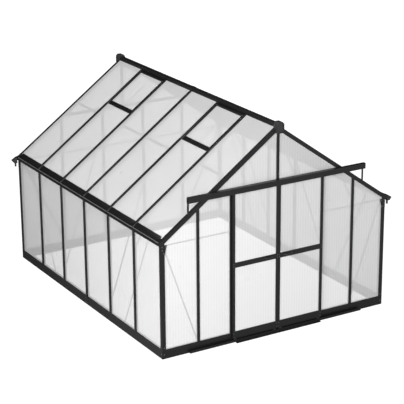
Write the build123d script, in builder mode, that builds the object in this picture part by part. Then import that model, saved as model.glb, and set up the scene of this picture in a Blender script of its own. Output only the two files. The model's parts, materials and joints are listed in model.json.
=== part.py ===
"""Walk-in greenhouse with double sliding doors, modelled in millimetres.

X runs across the gables, Y along the house and Z up. The doors are in the front gable, at -Y. The origin
is on the ground, at the middle of the whole object's box. The roof plane is the outer face of the roof's
glazing caps, and "up" is a distance outwards from that plane.
"""
import os
from math import cos, hypot, radians, sin, tan

from build123d import *

# ---- overall sizes
BAYS = 6                    # side wall bays
BAY = 620.0                 # pitch of the side posts
END_INSET = 15.0            # gable's outer face to the first line of the bay pitch
WALL_WIDTH = 3060.0         # over the outer faces of the side walls
BASE_HEIGHT = 107.0         # plinth
EAVE_UNDERSIDE = 1358.0     # where the posts meet the eave beams
EAVE_RISE = 46.6            # roof plane over the posts' heads, at the walls' outer faces
ROOF_PITCH = 35.6           # degrees

# ---- sections
SHEET = 3.0                 # folded sheet and flat bar
WALL = 2.5                  # extruded channel walls
FIT = 0.3                   # gap beside a panel, and between parts that only touch
PANEL = 6.0                 # twin-wall panel thickness
PANEL_INSET = 9.0           # outer face of a wall profile to its panel slot
SLOT_DEPTH = 10.0
SLOT_END_GAP = 1.0
POST_WIDTH = 32.0
POST_DEPTH = 30.0
CORNER_POST = 46.0
DOOR_POST_X = 620.0
GABLE_POST_X = 1055.0
REAR_BAYS = 5
REAR_BAY = 605.0
TRANSOM_HEIGHT = 34.0
SILL_FLANGE = 40.0
ANCHOR_HOLE_R = 5.5
ANCHOR_FROM_END = 190.0     # first anchor hole, from the gable's outer face
ANCHOR_INNER = 1200.0       # second anchor hole, from the gable's outer face
BRACKET_LEG = 40.0
BOLT_R = 3.0
BOLT_CLEARANCE = 0.2
BOLT_HEAD_R = 6.0
BOLT_HEAD = 2.5

# ---- roof
CAP_FLANGE = 3.0
CAP_WEB = 4.0
RAFTER_WIDTH = 32.0
RAFTER_BOTTOM = -48.0       # up position of the rafter's inner face
GABLE_RAFTER_WIDTH = 40.0   # along Y
RIDGE_HALF = 30.0
RIDGE_RISE = 24.0           # beam's top over the line where the roof planes would meet
RIDGE_DROP = 90.0           # beam's underside below that line
RIDGE_CHAMFER = 14.0
RIDGE_CAP_REACH = 50.0      # in front of the gable's outer face
RIDGE_CAP_SADDLE = 33.0     # over the ridge beam
RIDGE_CAP_HALF = 46.0
RIDGE_CAP_RISE = 46.0
RIDGE_CAP_DROP = 84.0
EAVE_BEAM_DEPTH = 42.0
PANEL_OVERHANG = 12.0       # roof panel past the side wall, over the gutter
EAVE_CAPPING = 44.0         # width, along X, of the strip over the panels' lower edges
GUTTER_REACH = 36.0
GUTTER_RISE = 8.0           # gutter's underside over the posts' heads
GUTTER_HEIGHT = 30.0
OUTLET_REACH = 95.0
OUTLET_LENGTH = 60.0
OUTLET_DROP = 42.0
OUTLET_INLET_R = 8.0
SPIGOT_R = 13.0
SPIGOT_BORE_R = 10.5
SPIGOT_LENGTH = 48.0
PURLIN_AT = 845.0           # down the slope from the ridge line
PURLIN_WIDTH = 30.0
PURLIN_DEPTH = 10.0

# ---- braces
BAR_WIDTH = 16.0
TIE_DROP = 13.0             # eave ties' middle below the posts' heads
DIAGONAL_INSET = 58.0       # gable brace's upper end, in from the wall and below the posts' heads
KNEE_FOOT_INSET = 29.0      # knee brace's foot, in from the wall's outer face
KNEE_HEAD_UP = -25.0        # up position of a knee brace's head
KNEE_LONG = (1028.0, 490.0)     # foot below the posts' heads, and head in from the wall
KNEE_SHORT = (193.0, 220.0)
GUSSET_WIDTH = 75.0
GUSSET_HEIGHT = 110.0

# ---- sliding doors
LEAF_WIDTH = 616.0
LEAF_GAP = 1.0              # each leaf's edge to the middle of the doorway
LEAF_BACK = 4.0             # gable's outer face to the leaf
LEAF_THICK = 20.0
LEAF_BOTTOM = 45.0
LEAF_LAP = 26.0             # leaf's top above the header's underside
OUTER_STILE = 32.0
INNER_STILE = 26.0
TOP_RAIL = 28.0
MID_RAIL = 55.0
MID_RAIL_Z = 945.0
BOTTOM_RAIL = 83.0
RAIL_GAP = 0.2              # saw gap where a rail meets a stile
GROOVE = 8.0
HANDLE_LENGTH = 105.0
HANDLE_X = 133.0            # handle's middle from the meeting edge
HANDLE_REACH = 36.0
HANDLE_R = 5.0
HEADER_HALF = 1195.0
HEADER_HEIGHT = 66.0
HEADER_DROP = 633.97        # header's top below the line where the roof planes would meet
HEADER_DEPTH = 42.0
LEDGE = 13.5                # running ledge of the header, behind its front lip
STRUT_WIDTH = 25.0
GUIDE_HALF = 1190.0
GUIDE_DEPTH = 38.0
GUIDE_BOTTOM = 6.0
GUIDE_TOP = 36.0
SHOE_LENGTH = 40.0
SHOE_BOTTOM = 10.0
SHOE_SIDE_GAP = 2.0
RAMP_REACH = 66.0
RAMP_HALF = 585.0
ROLLER_R = 11.0
ROLLER_WIDTH = 8.0
AXLE_R = 3.0
AXLE_CLEARANCE = 0.05
AXLE_PLAY = 0.4             # along the pin, each side of what turns on it
AXLE_HEAD = 1.5
ROLLER_INSET = 90.0         # roller to the leaf's edge

# ---- roof vents, on the left slope
VENT_BAYS = (1, 4)          # counted from the front, starting at 0
VENT_NAMES = {1: "vent_front", 4: "vent_rear"}
VENT_HINGE_AT = 62.0        # down the slope
VENT_START = 58.0
VENT_END = 632.0
VENT_SIDE_GAP = 8.0
VENT_RAIL = 22.0            # top and bottom rails
VENT_STILE = 13.0           # side rails
VENT_TOP = 4.0              # up positions of the vent frame
VENT_BOTTOM = -14.0
VENT_SILL_GAP = 4.0
VENT_SILL = 28.0
VENT_SILL_BOTTOM = -34.0
EAR = 4.0
EAR_GAP = 2.0
EAR_R = 9.0
PIN_R = 3.0
STAY_PIVOT_INSET = 10.0     # stay's pivot, up the slope from the bottom rail
STAY_PIVOT_UP = -24.0
STAY_PEG_INSET = 10.0       # stay's peg, up the slope from the vent sill
STAY_PEG_UP = -30.0
STAY_LENGTH = 382.6
STAY_WIDTH = 14.0
STAY = 3.0                  # thickness of the stay arm
PEG_GAP = 0.6               # between the arm's face and the peg, along Y
STAY_HOLES = 6
STAY_HOLE_R = 3.6
STAY_HOLE_PITCH = 48.0

# ---- worked-out places
HALF = WALL_WIDTH / 2
WALL_LENGTH = BAYS * BAY + 2 * END_INSET
FRONT = -(RAMP_REACH + WALL_LENGTH + RIDGE_CAP_REACH) / 2 + RAMP_REACH
REAR = FRONT + WALL_LENGTH
MID_Y = (FRONT + REAR) / 2
C, S, T = cos(radians(ROOF_PITCH)), sin(radians(ROOF_PITCH)), tan(radians(ROOF_PITCH))
RIDGE_HEIGHT = EAVE_UNDERSIDE + EAVE_RISE + HALF * T    # where the two roof planes would meet
RIDGE_TOP, RIDGE_BOTTOM = RIDGE_HEIGHT + RIDGE_RISE, RIDGE_HEIGHT - RIDGE_DROP
RIDGE_CAP_TOP, RIDGE_CAP_BOTTOM = RIDGE_HEIGHT + RIDGE_CAP_RISE, RIDGE_HEIGHT - RIDGE_CAP_DROP
GUTTER_BOTTOM = EAVE_UNDERSIDE + GUTTER_RISE
TRANSOM_TOP = HEADER_TOP = RIDGE_HEIGHT - HEADER_DROP
HEADER_BOTTOM = HEADER_TOP - HEADER_HEIGHT
LEAF_TOP = HEADER_BOTTOM + LEAF_LAP
STAY_PIVOT_AT = VENT_END - VENT_RAIL - STAY_PIVOT_INSET
STAY_PEG_AT = VENT_END + VENT_SILL_GAP - STAY_PEG_INSET
PANEL_TOP = -CAP_FLANGE - FIT
PANEL_BOTTOM = PANEL_TOP - PANEL
RAFTER_TOP = PANEL_BOTTOM - FIT
SLOT = PANEL + 2 * FIT
GRIP = SLOT_DEPTH - SLOT_END_GAP
LEAF_FRONT = LEAF_BACK + LEAF_THICK
LEDGE_TOP = HEADER_BOTTOM + WALL
ROLLER_Z = LEDGE_TOP + FIT + ROLLER_R
RAFTER_END = HALF - EAVE_BEAM_DEPTH


def post_y(k):
    """Y of side post line k, where 0 is the front gable's."""
    return FRONT + END_INSET + k * BAY


def roof_z(x, up=0.0):
    """Height at x of the plane parallel to the roof plane, up outwards from it."""
    return RIDGE_HEIGHT - abs(x) * T + up / C


def slope_strip(side, x0, x1, top, bottom):
    """Corners, in X and Z, of a strip along one slope with plumb-cut ends."""
    return [
        (side * x0, roof_z(x0, top)),
        (side * x1, roof_z(x1, top)),
        (side * x1, roof_z(x1, bottom)),
        (side * x0, roof_z(x0, bottom)),
    ]


def cross_plane(y):
    """Plane across the house at y, with its sketch axes along X and Z and its normal along -Y."""
    return Plane(origin=(0, y, 0), x_dir=(1, 0, 0), z_dir=(0, -1, 0))


def slope_plane(side, y=0.0, up=0.0):
    """Plane on a slope: sketch x runs down the slope, its normal points outwards."""
    base = Plane(origin=(0, y, RIDGE_HEIGHT), x_dir=(side * C, 0, -S), z_dir=(side * S, 0, C))
    return base.offset(up)


def prism(plane, points, amount, both=False, mode=Mode.ADD):
    """Add to the part being built the outline through points, drawn on plane and extruded."""
    with BuildSketch(plane) as section:
        Polygon(*points)
    extrude(section.sketch, amount=amount, both=both, mode=mode)


def rod(plane, radius, amount, mode=Mode.ADD):
    """Add to the part being built a round bar along the plane's normal, centred on its origin."""
    with BuildSketch(plane) as section:
        Circle(radius)
    extrude(section.sketch, amount=amount, mode=mode)


def write(piece, name):
    """Label a finished piece and write its STEP file."""
    piece.part.label = name
    export_step(piece.part, f"parts/{name}.step")


os.makedirs("parts", exist_ok=True)

# ================================================================ plinth
def sill(length, plane_at):
    """One mitred C-section sill along sketch x, with its outer face on sketch y = 0, inwards to +y."""
    half = length / 2
    for height, depth, thick in (
        (0, SILL_FLANGE, SHEET),
        (0, SHEET, BASE_HEIGHT),
        (BASE_HEIGHT - SHEET, SILL_FLANGE, SHEET),
    ):
        mitred = [(-half, 0), (half, 0), (half - depth, depth), (depth - half, depth)]
        prism(plane_at(height), mitred, thick)


def sill_plane(origin, x_dir):
    """Maker of level planes through origin, with sketch x along x_dir."""
    return lambda height: Plane(origin=(*origin, height), x_dir=x_dir, z_dir=(0, 0, 1))


BOLT_STEP = SHEET + BRACKET_LEG / 2     # base bolt to the outer face of the wall beside it
CORNERS = [(sx, sy) for sx in (-1, 1) for sy in (-1, 1)]


def corner_y(sy):
    """Outer face of the gable on side sy."""
    return FRONT if sy < 0 else REAR


with BuildPart() as base_gable_sills:
    sill(WALL_WIDTH - FIT, sill_plane((0, FRONT), (1, 0, 0)))
    sill(WALL_WIDTH - FIT, sill_plane((0, REAR), (-1, 0, 0)))
    for sx, sy in CORNERS:
        with BuildSketch(cross_plane(corner_y(sy))):
            with Locations((sx * (HALF - BOLT_STEP), BASE_HEIGHT / 2)):
                Circle(BOLT_R + BOLT_CLEARANCE)
        extrude(amount=SHEET, both=True, mode=Mode.SUBTRACT)
write(base_gable_sills, "base_gable_sills")

ANCHOR_X = HALF - SHEET - (SILL_FLANGE - SHEET) / 2
ANCHOR_YS = [
    FRONT + ANCHOR_FROM_END,
    FRONT + ANCHOR_INNER,
    REAR - ANCHOR_INNER,
    REAR - ANCHOR_FROM_END,
]
with BuildPart() as base_side_sills:
    sill(WALL_LENGTH - FIT, sill_plane((-HALF, MID_Y), (0, -1, 0)))
    sill(WALL_LENGTH - FIT, sill_plane((HALF, MID_Y), (0, 1, 0)))
    for sx, sy in CORNERS:
        y = corner_y(sy) - sy * BOLT_STEP
        with BuildSketch(Plane(origin=(sx * HALF, y, BASE_HEIGHT / 2), x_dir=(0, 1, 0), z_dir=(1, 0, 0))):
            Circle(BOLT_R + BOLT_CLEARANCE)
        extrude(amount=SHEET, both=True, mode=Mode.SUBTRACT)
    with BuildSketch():
        with Locations(*[(sx * ANCHOR_X, y) for sx in (-1, 1) for y in ANCHOR_YS]):
            Circle(ANCHOR_HOLE_R)
    extrude(amount=SHEET, mode=Mode.SUBTRACT)
write(base_side_sills, "base_side_sills")

BRACKET_HEIGHT = BASE_HEIGHT - 4 * SHEET
with BuildPart() as base_corner_brackets:
    for sx, sy in CORNERS:
        x, y = sx * (HALF - SHEET), corner_y(sy) - sy * SHEET
        angle = [
            (x, y),
            (x - sx * BRACKET_LEG, y),
            (x - sx * BRACKET_LEG, y - sy * SHEET),
            (x - sx * SHEET, y - sy * SHEET),
            (x - sx * SHEET, y - sy * BRACKET_LEG),
            (x, y - sy * BRACKET_LEG),
        ]
        prism(Plane.XY.offset(2 * SHEET), angle, BRACKET_HEIGHT)
        bolt_x, bolt_y = sx * (HALF - BOLT_STEP), corner_y(sy) - sy * BOLT_STEP
        with BuildSketch(cross_plane(y - sy * SHEET / 2)):
            with Locations((bolt_x, BASE_HEIGHT / 2)):
                Circle(BOLT_R + BOLT_CLEARANCE)
        extrude(amount=SHEET, both=True, mode=Mode.SUBTRACT)
        side_middle = (x - sx * SHEET / 2, bolt_y, BASE_HEIGHT / 2)
        with BuildSketch(Plane(origin=side_middle, x_dir=(0, 1, 0), z_dir=(1, 0, 0))):
            Circle(BOLT_R + BOLT_CLEARANCE)
        extrude(amount=SHEET, both=True, mode=Mode.SUBTRACT)
write(base_corner_brackets, "base_corner_brackets")


def bolt(centre, outwards):
    """Dome-headed bolt whose head sits on the face at centre, with its shank through two sheets."""
    face = Plane(origin=centre, z_dir=outwards)
    with BuildSketch(face) as head:
        Circle(BOLT_HEAD_R)
    extrude(head.sketch, amount=BOLT_HEAD, taper=30)
    rod(face, BOLT_R, -(2 * SHEET + BOLT_HEAD))


with BuildPart() as base_bolts:
    for sx, sy in CORNERS:
        edge = corner_y(sy)
        bolt((sx * (HALF - BOLT_STEP), edge, BASE_HEIGHT / 2), (0, sy, 0))
        bolt((sx * HALF, edge - sy * BOLT_STEP, BASE_HEIGHT / 2), (sx, 0, 0))
write(base_bolts, "base_bolts")

# ================================================================ posts
SLOT_MIDDLE = PANEL_INSET + SLOT / 2    # outer wall face to the middle of a panel slot
POST_HEIGHT = EAVE_UNDERSIDE - BASE_HEIGHT

with BuildPart() as corner_posts:
    with BuildSketch(Plane.XY.offset(BASE_HEIGHT)):
        for sx, sy in CORNERS:
            x, y = sx * HALF, corner_y(sy)
            with Locations((x - sx * CORNER_POST / 2, y - sy * CORNER_POST / 2)):
                Rectangle(CORNER_POST, CORNER_POST)
            reach = CORNER_POST - SLOT_DEPTH / 2
            with Locations((x - sx * SLOT_MIDDLE, y - sy * reach)):
                Rectangle(SLOT, SLOT_DEPTH, mode=Mode.SUBTRACT)
            with Locations((x - sx * reach, y - sy * SLOT_MIDDLE)):
                Rectangle(SLOT_DEPTH, SLOT, mode=Mode.SUBTRACT)
    extrude(amount=POST_HEIGHT)
write(corner_posts, "corner_posts")

with BuildPart() as side_posts:
    with BuildSketch(Plane.XY.offset(BASE_HEIGHT)):
        for sx in (-1, 1):
            for k in range(1, BAYS):
                with Locations((sx * (HALF - POST_DEPTH / 2), post_y(k))):
                    Rectangle(POST_DEPTH, POST_WIDTH)
                for edge in (-1, 1):
                    slot_y = post_y(k) + edge * (POST_WIDTH - SLOT_DEPTH) / 2
                    with Locations((sx * (HALF - SLOT_MIDDLE), slot_y)):
                        Rectangle(SLOT, SLOT_DEPTH, mode=Mode.SUBTRACT)
    extrude(amount=POST_HEIGHT)
write(side_posts, "side_posts")

GABLE_RAFTER_UP = -46.0                 # up position of a gable rafter's inner face
TRANSOM_BOTTOM = TRANSOM_TOP - TRANSOM_HEIGHT


def gable_y(sy, inset):
    """Y at a depth inwards from the outer face of the gable on side sy."""
    return corner_y(sy) - sy * inset


def layer_plane(sy, inset, thick):
    """Plane across the house from which -Y fills the layer from inset to inset + thick in a gable."""
    return cross_plane(max(gable_y(sy, inset), gable_y(sy, inset + thick)))


def outer_plane(sy):
    """Plane for a sheet laid on the outer face of a gable."""
    return layer_plane(sy, -SHEET, SHEET)


def gable_post(sy, x, bottom, top_left, top_right):
    """Slotted gable post at x; its top runs from top_left to top_right."""
    half = POST_WIDTH / 2
    face = [(x - half, bottom), (x + half, bottom), (x + half, top_right), (x - half, top_left)]
    prism(layer_plane(sy, 0, POST_DEPTH), face, POST_DEPTH)
    tall = max(top_left, top_right) - bottom
    slot_y = gable_y(sy, SLOT_MIDDLE)
    for edge in (-1, 1):
        with Locations((x + edge * (half - SLOT_DEPTH / 2), slot_y, bottom + tall / 2)):
            Box(SLOT_DEPTH, SLOT, tall, mode=Mode.SUBTRACT)


def under_rafter_x(z):
    """Half-width between the gable rafters' undersides at height z."""
    return (roof_z(0, GABLE_RAFTER_UP) - z) / T


def standing_post(sy, x):
    """Gable post from the plinth up to the transom or, beyond its ends, to the gable rafter."""
    if abs(x) + POST_WIDTH / 2 <= under_rafter_x(TRANSOM_BOTTOM):
        left = right = TRANSOM_BOTTOM
    else:
        left, right = (roof_z(x + edge * POST_WIDTH / 2, GABLE_RAFTER_UP - FIT) for edge in (-1, 1))
    gable_post(sy, x, BASE_HEIGHT, left, right)


with BuildPart() as front_gable_posts:
    for sx in (-1, 1):
        standing_post(-1, sx * GABLE_POST_X)
        standing_post(-1, sx * DOOR_POST_X)
write(front_gable_posts, "front_gable_posts")

REAR_INNER_X, REAR_OUTER_X = REAR_BAY / 2, REAR_BAY * 3 / 2
with BuildPart() as rear_gable_posts:
    for sx in (-1, 1):
        standing_post(1, sx * REAR_INNER_X)
        standing_post(1, sx * REAR_OUTER_X)
write(rear_gable_posts, "rear_gable_posts")

with BuildPart() as apex_posts:
    for sy in (-1, 1):
        gable_post(sy, 0, TRANSOM_TOP, RIDGE_BOTTOM, RIDGE_BOTTOM)
write(apex_posts, "apex_posts")


with BuildPart() as gable_transoms:
    for sy in (-1, 1):
        low, high = under_rafter_x(TRANSOM_BOTTOM), under_rafter_x(TRANSOM_TOP)
        face = [(-low, TRANSOM_BOTTOM), (low, TRANSOM_BOTTOM), (high, TRANSOM_TOP), (-high, TRANSOM_TOP)]
        prism(layer_plane(sy, 0, POST_DEPTH), face, POST_DEPTH)
write(gable_transoms, "gable_transoms")

# ================================================================ eaves
OUTLETS = ((1, -1), (-1, 1))            # sides in X and Y of the two gutter ends with an outlet
OUTLET_INLET_Z = GUTTER_BOTTOM + WALL + OUTLET_INLET_R + 2.0
SPIGOT_X = HALF + GUTTER_REACH + SPIGOT_R + SHEET


def outlet_y(sy):
    """Y of the outlet's axis at the end of a gutter on side sy."""
    return corner_y(sy) - sy * (OUTLET_LENGTH / 2 - SHEET)


def gutter_drain(sx, sy):
    """Cut the level hole that leads from a gutter, through its lip, to the outlet's bore."""
    lip = Plane(origin=(sx * SPIGOT_X, outlet_y(sy), OUTLET_INLET_Z), z_dir=(-sx, 0, 0))
    rod(lip, OUTLET_INLET_R, SPIGOT_X - HALF - GUTTER_REACH / 2, mode=Mode.SUBTRACT)


def eave_gutter(side):
    """Eave beam and gutter in one section, along one side wall."""
    inner, outer = HALF - EAVE_BEAM_DEPTH, HALF
    lip = HALF + GUTTER_REACH
    gutter_top = GUTTER_BOTTOM + GUTTER_HEIGHT
    points = [
        (inner, EAVE_UNDERSIDE),
        (outer, EAVE_UNDERSIDE),
        (outer, GUTTER_BOTTOM),
        (lip, GUTTER_BOTTOM),
        (lip, gutter_top),
        (lip - WALL, gutter_top),
        (lip - WALL, GUTTER_BOTTOM + WALL),
        (outer, GUTTER_BOTTOM + WALL),
        (outer, roof_z(outer, RAFTER_TOP)),
        (inner, roof_z(inner, RAFTER_TOP)),
    ]
    prism(cross_plane(REAR), [(side * x, z) for x, z in points], WALL_LENGTH)
    for sx, sy in OUTLETS:
        if sx == side:
            gutter_drain(sx, sy)


with BuildPart() as eave_gutter_left:
    eave_gutter(-1)
write(eave_gutter_left, "eave_gutter_left")

with BuildPart() as eave_gutter_right:
    eave_gutter(1)
write(eave_gutter_right, "eave_gutter_right")

with BuildPart() as gutter_end_plates:
    for sx, sy in CORNERS:
        lip = HALF + GUTTER_REACH
        plate = [
            (RAFTER_END, EAVE_UNDERSIDE),
            (HALF, EAVE_UNDERSIDE),
            (lip, GUTTER_BOTTOM),
            (lip, GUTTER_BOTTOM + GUTTER_HEIGHT),
            (HALF, roof_z(HALF)),
            (RAFTER_END, roof_z(RAFTER_END)),
        ]
        prism(outer_plane(sy), [(sx * x, z) for x, z in plate], SHEET)
write(gutter_end_plates, "gutter_end_plates")

OUTLET_TOP = GUTTER_BOTTOM + GUTTER_HEIGHT
OUTLET_BASE = GUTTER_BOTTOM - OUTLET_DROP
OUTLET_TIP = HALF + OUTLET_REACH
with BuildPart() as gutter_outlets:
    for sx, sy in OUTLETS:
        hopper = [
            (HALF + GUTTER_REACH, OUTLET_TOP),
            (OUTLET_TIP, OUTLET_TOP - 34.0),
            (OUTLET_TIP - 24.0, OUTLET_BASE),
            (HALF + GUTTER_REACH, OUTLET_BASE),
        ]
        prism(layer_plane(sy, -SHEET, OUTLET_LENGTH), [(sx * x, z) for x, z in hopper], OUTLET_LENGTH)
        foot = Plane(origin=(sx * SPIGOT_X, outlet_y(sy), OUTLET_BASE))
        rod(foot, SPIGOT_R, -SPIGOT_LENGTH)
        bore_length = SPIGOT_LENGTH + OUTLET_INLET_Z - OUTLET_BASE
        rod(foot.offset(-SPIGOT_LENGTH), SPIGOT_BORE_R, bore_length, mode=Mode.SUBTRACT)
        gutter_drain(sx, sy)
write(gutter_outlets, "gutter_outlets")

with BuildPart() as corner_gussets:
    for sx, sy in CORNERS:
        gusset = [
            (HALF, EAVE_UNDERSIDE),
            (HALF - GUSSET_WIDTH, EAVE_UNDERSIDE),
            (HALF - CORNER_POST, EAVE_UNDERSIDE - GUSSET_HEIGHT),
            (HALF, EAVE_UNDERSIDE - GUSSET_HEIGHT),
        ]
        prism(outer_plane(sy), [(sx * x, z) for x, z in gusset], SHEET)
write(corner_gussets, "corner_gussets")

# ================================================================ roof frame
RIDGE_OUTLINE = [
    (-RIDGE_HALF, RIDGE_BOTTOM),
    (RIDGE_HALF, RIDGE_BOTTOM),
    (RIDGE_HALF, RIDGE_TOP - RIDGE_CHAMFER),
    (RIDGE_HALF - RIDGE_CHAMFER, RIDGE_TOP),
    (-RIDGE_HALF + RIDGE_CHAMFER, RIDGE_TOP),
    (-RIDGE_HALF, RIDGE_TOP - RIDGE_CHAMFER),
]
with BuildPart() as ridge_beam:
    with BuildSketch(cross_plane(REAR)):
        Polygon(*RIDGE_OUTLINE)
        offset(amount=-SHEET, mode=Mode.SUBTRACT)
    extrude(amount=WALL_LENGTH)
write(ridge_beam, "ridge_beam")

CAP_SHOULDER = RIDGE_CAP_HALF / 2
CAP_CROWN = [
    (RIDGE_CAP_HALF, RIDGE_CAP_TOP - CAP_SHOULDER),
    (CAP_SHOULDER, RIDGE_CAP_TOP),
    (-CAP_SHOULDER, RIDGE_CAP_TOP),
    (-RIDGE_CAP_HALF, RIDGE_CAP_TOP - CAP_SHOULDER),
]
CAP_CHIN = [
    (-RIDGE_CAP_HALF, RIDGE_CAP_BOTTOM + CAP_SHOULDER),
    (-CAP_SHOULDER, RIDGE_CAP_BOTTOM),
    (CAP_SHOULDER, RIDGE_CAP_BOTTOM),
    (RIDGE_CAP_HALF, RIDGE_CAP_BOTTOM + CAP_SHOULDER),
]
BEAM_HALF = RIDGE_HALF + FIT
BEAM_TOP = RIDGE_TOP + FIT
SADDLE_LEGS = [
    (-RIDGE_CAP_HALF, roof_z(RIDGE_CAP_HALF, FIT)),
    (-BEAM_HALF, roof_z(BEAM_HALF, FIT)),
    (-BEAM_HALF, RIDGE_TOP - RIDGE_CHAMFER),
    (-BEAM_HALF + RIDGE_CHAMFER, BEAM_TOP),
    (BEAM_HALF - RIDGE_CHAMFER, BEAM_TOP),
    (BEAM_HALF, RIDGE_TOP - RIDGE_CHAMFER),
    (BEAM_HALF, roof_z(BEAM_HALF, FIT)),
    (RIDGE_CAP_HALF, roof_z(RIDGE_CAP_HALF, FIT)),
]
with BuildPart() as ridge_caps:
    for sy in (-1, 1):
        prism(layer_plane(sy, -RIDGE_CAP_REACH, RIDGE_CAP_REACH), CAP_CROWN + CAP_CHIN, RIDGE_CAP_REACH)
        prism(layer_plane(sy, 0, RIDGE_CAP_SADDLE), CAP_CROWN + SADDLE_LEGS, RIDGE_CAP_SADDLE)
write(ridge_caps, "ridge_caps")

with BuildPart() as gable_rafters:
    for sx, sy in CORNERS:
        width, top = GABLE_RAFTER_WIDTH, PANEL_TOP + FIT
        body = slope_strip(sx, RIDGE_HALF, RAFTER_END, 0, GABLE_RAFTER_UP)
        prism(layer_plane(sy, 0, width), body, width)
        flashing = slope_strip(sx, RAFTER_END, HALF + PANEL_OVERHANG, 0, top)
        prism(layer_plane(sy, 0, width), flashing, width)
        slot = slope_strip(sx, RIDGE_HALF, RAFTER_END, top, RAFTER_TOP)
        prism(layer_plane(sy, width - SLOT_DEPTH, SLOT_DEPTH), slot, SLOT_DEPTH, mode=Mode.SUBTRACT)
write(gable_rafters, "gable_rafters")

with BuildPart() as roof_rafters:
    for side in (-1, 1):
        for k in range(1, BAYS):
            section = slope_strip(side, RIDGE_HALF, RAFTER_END, RAFTER_TOP, RAFTER_BOTTOM)
            prism(cross_plane(post_y(k)), section, RAFTER_WIDTH / 2, both=True)
write(roof_rafters, "roof_rafters")

with BuildPart() as roof_glazing_caps:
    for side in (-1, 1):
        for k in range(1, BAYS):
            for width, top, bottom in (
                (RAFTER_WIDTH, 0, -CAP_FLANGE),
                (CAP_WEB, -CAP_FLANGE, RAFTER_TOP),
            ):
                strip = slope_strip(side, RIDGE_HALF, HALF + PANEL_OVERHANG, top, bottom)
                prism(cross_plane(post_y(k)), strip, width / 2, both=True)
write(roof_glazing_caps, "roof_glazing_caps")


def slope_box(side, y, length_at, width, up, mode=Mode.ADD):
    """Box on a slope: length_at and up are its ranges down the slope and outwards."""
    (near, far), half = length_at, width / 2
    corners = [(near, -half), (far, -half), (far, half), (near, half)]
    prism(slope_plane(side, y, up[0]), corners, up[1] - up[0], mode=mode)


def bay_y(k):
    """Middle of bay k, counted from the front."""
    return post_y(k) + BAY / 2


CLEAR_BAY = BAY - RAFTER_WIDTH


def bay_span(k):
    """Clear span of roof bay k between its rafters, as its middle and its width."""
    low = FRONT + GABLE_RAFTER_WIDTH if k == 0 else post_y(k) + RAFTER_WIDTH / 2
    high = REAR - GABLE_RAFTER_WIDTH if k == BAYS - 1 else post_y(k + 1) - RAFTER_WIDTH / 2
    return (low + high) / 2, high - low


with BuildPart() as eave_cappings:
    for side in (-1, 1):
        for k in range(BAYS):
            middle, width = bay_span(k)
            edge = HALF + PANEL_OVERHANG
            strip = slope_strip(side, edge - EAVE_CAPPING, edge, 0, -CAP_FLANGE)
            prism(cross_plane(middle), strip, width / 2 - FIT, both=True)
write(eave_cappings, "eave_cappings")

with BuildPart() as roof_purlins:
    for side in (-1, 1):
        for k in range(BAYS):
            if side < 0 and k in VENT_BAYS:
                continue
            middle, width = bay_span(k)
            strip = (PURLIN_AT - PURLIN_WIDTH / 2, PURLIN_AT + PURLIN_WIDTH / 2)
            slope_box(side, middle, strip, width, (RAFTER_TOP - PURLIN_DEPTH, RAFTER_TOP))
write(roof_purlins, "roof_purlins")

# ================================================================ glazing
def side_panels(side):
    """The panels of one side wall, each held in the slots of two posts."""
    for k in range(BAYS):
        low = FRONT + CORNER_POST - GRIP if k == 0 else post_y(k) + POST_WIDTH / 2 - GRIP
        high = REAR - CORNER_POST + GRIP if k == BAYS - 1 else post_y(k + 1) - POST_WIDTH / 2 + GRIP
        x = side * (HALF - SLOT_MIDDLE)
        middle = (BASE_HEIGHT + EAVE_UNDERSIDE) / 2
        with Locations((x, (low + high) / 2, middle)):
            Box(PANEL, high - low, POST_HEIGHT - 2 * FIT)


with BuildPart() as side_panels_left:
    side_panels(-1)
write(side_panels_left, "side_panels_left")

with BuildPart() as side_panels_right:
    side_panels(1)
write(side_panels_right, "side_panels_right")


def gable_panel(sy, x_low, x_high, z_low, z_high):
    """Gable panel between two x and two heights, trimmed to the rafters and the eave beams."""
    side, eave, rafter = RAFTER_END - FIT, EAVE_UNDERSIDE - FIT, GABLE_RAFTER_UP - FIT
    half_room = [(side, roof_z(side, rafter)), (side, eave), (HALF, eave), (HALF, 0)]
    with BuildSketch(layer_plane(sy, PANEL_INSET + FIT, PANEL)) as sheet:
        Polygon((x_low, z_low), (x_high, z_low), (x_high, z_high), (x_low, z_high))
        Polygon(
            (0, roof_z(0, rafter)),
            *half_room,
            *[(-x, z) for x, z in reversed(half_room)],
            mode=Mode.INTERSECT,
        )
    extrude(sheet.sketch, amount=PANEL)


def gable_panels(sy, lines):
    """Panels between neighbouring vertical lines (x, half-width), up to the rafters or the transom."""
    for (x0, half0), (x1, half1) in zip(lines, lines[1:]):
        beside_transom = max(x0, -x1) >= under_rafter_x(TRANSOM_BOTTOM)
        top = RIDGE_HEIGHT if beside_transom else TRANSOM_BOTTOM - FIT
        gable_panel(sy, x0 + half0 - GRIP, x1 - half1 + GRIP, BASE_HEIGHT + FIT, top)


def upper_gable_panels(sy):
    """The two panels over the transom, either side of the apex post."""
    for side in (-1, 1):
        edges = sorted((side * (POST_WIDTH / 2 - GRIP), side * under_rafter_x(TRANSOM_TOP)))
        gable_panel(sy, *edges, TRANSOM_TOP + FIT, RIDGE_BOTTOM - FIT)


def mirrored(lines):
    """The same vertical lines on the other side of the middle, in order of x."""
    return [(-x, half) for x, half in reversed(lines)]


CORNER_LINE = (HALF - CORNER_POST / 2, CORNER_POST / 2)
FRONT_LINES = [(DOOR_POST_X, POST_WIDTH / 2), (GABLE_POST_X, POST_WIDTH / 2), CORNER_LINE]
REAR_LINES = [(REAR_INNER_X, POST_WIDTH / 2), (REAR_OUTER_X, POST_WIDTH / 2), CORNER_LINE]

with BuildPart() as front_gable_panels:
    gable_panels(-1, FRONT_LINES)
    gable_panels(-1, mirrored(FRONT_LINES))
    upper_gable_panels(-1)
write(front_gable_panels, "front_gable_panels")

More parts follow.
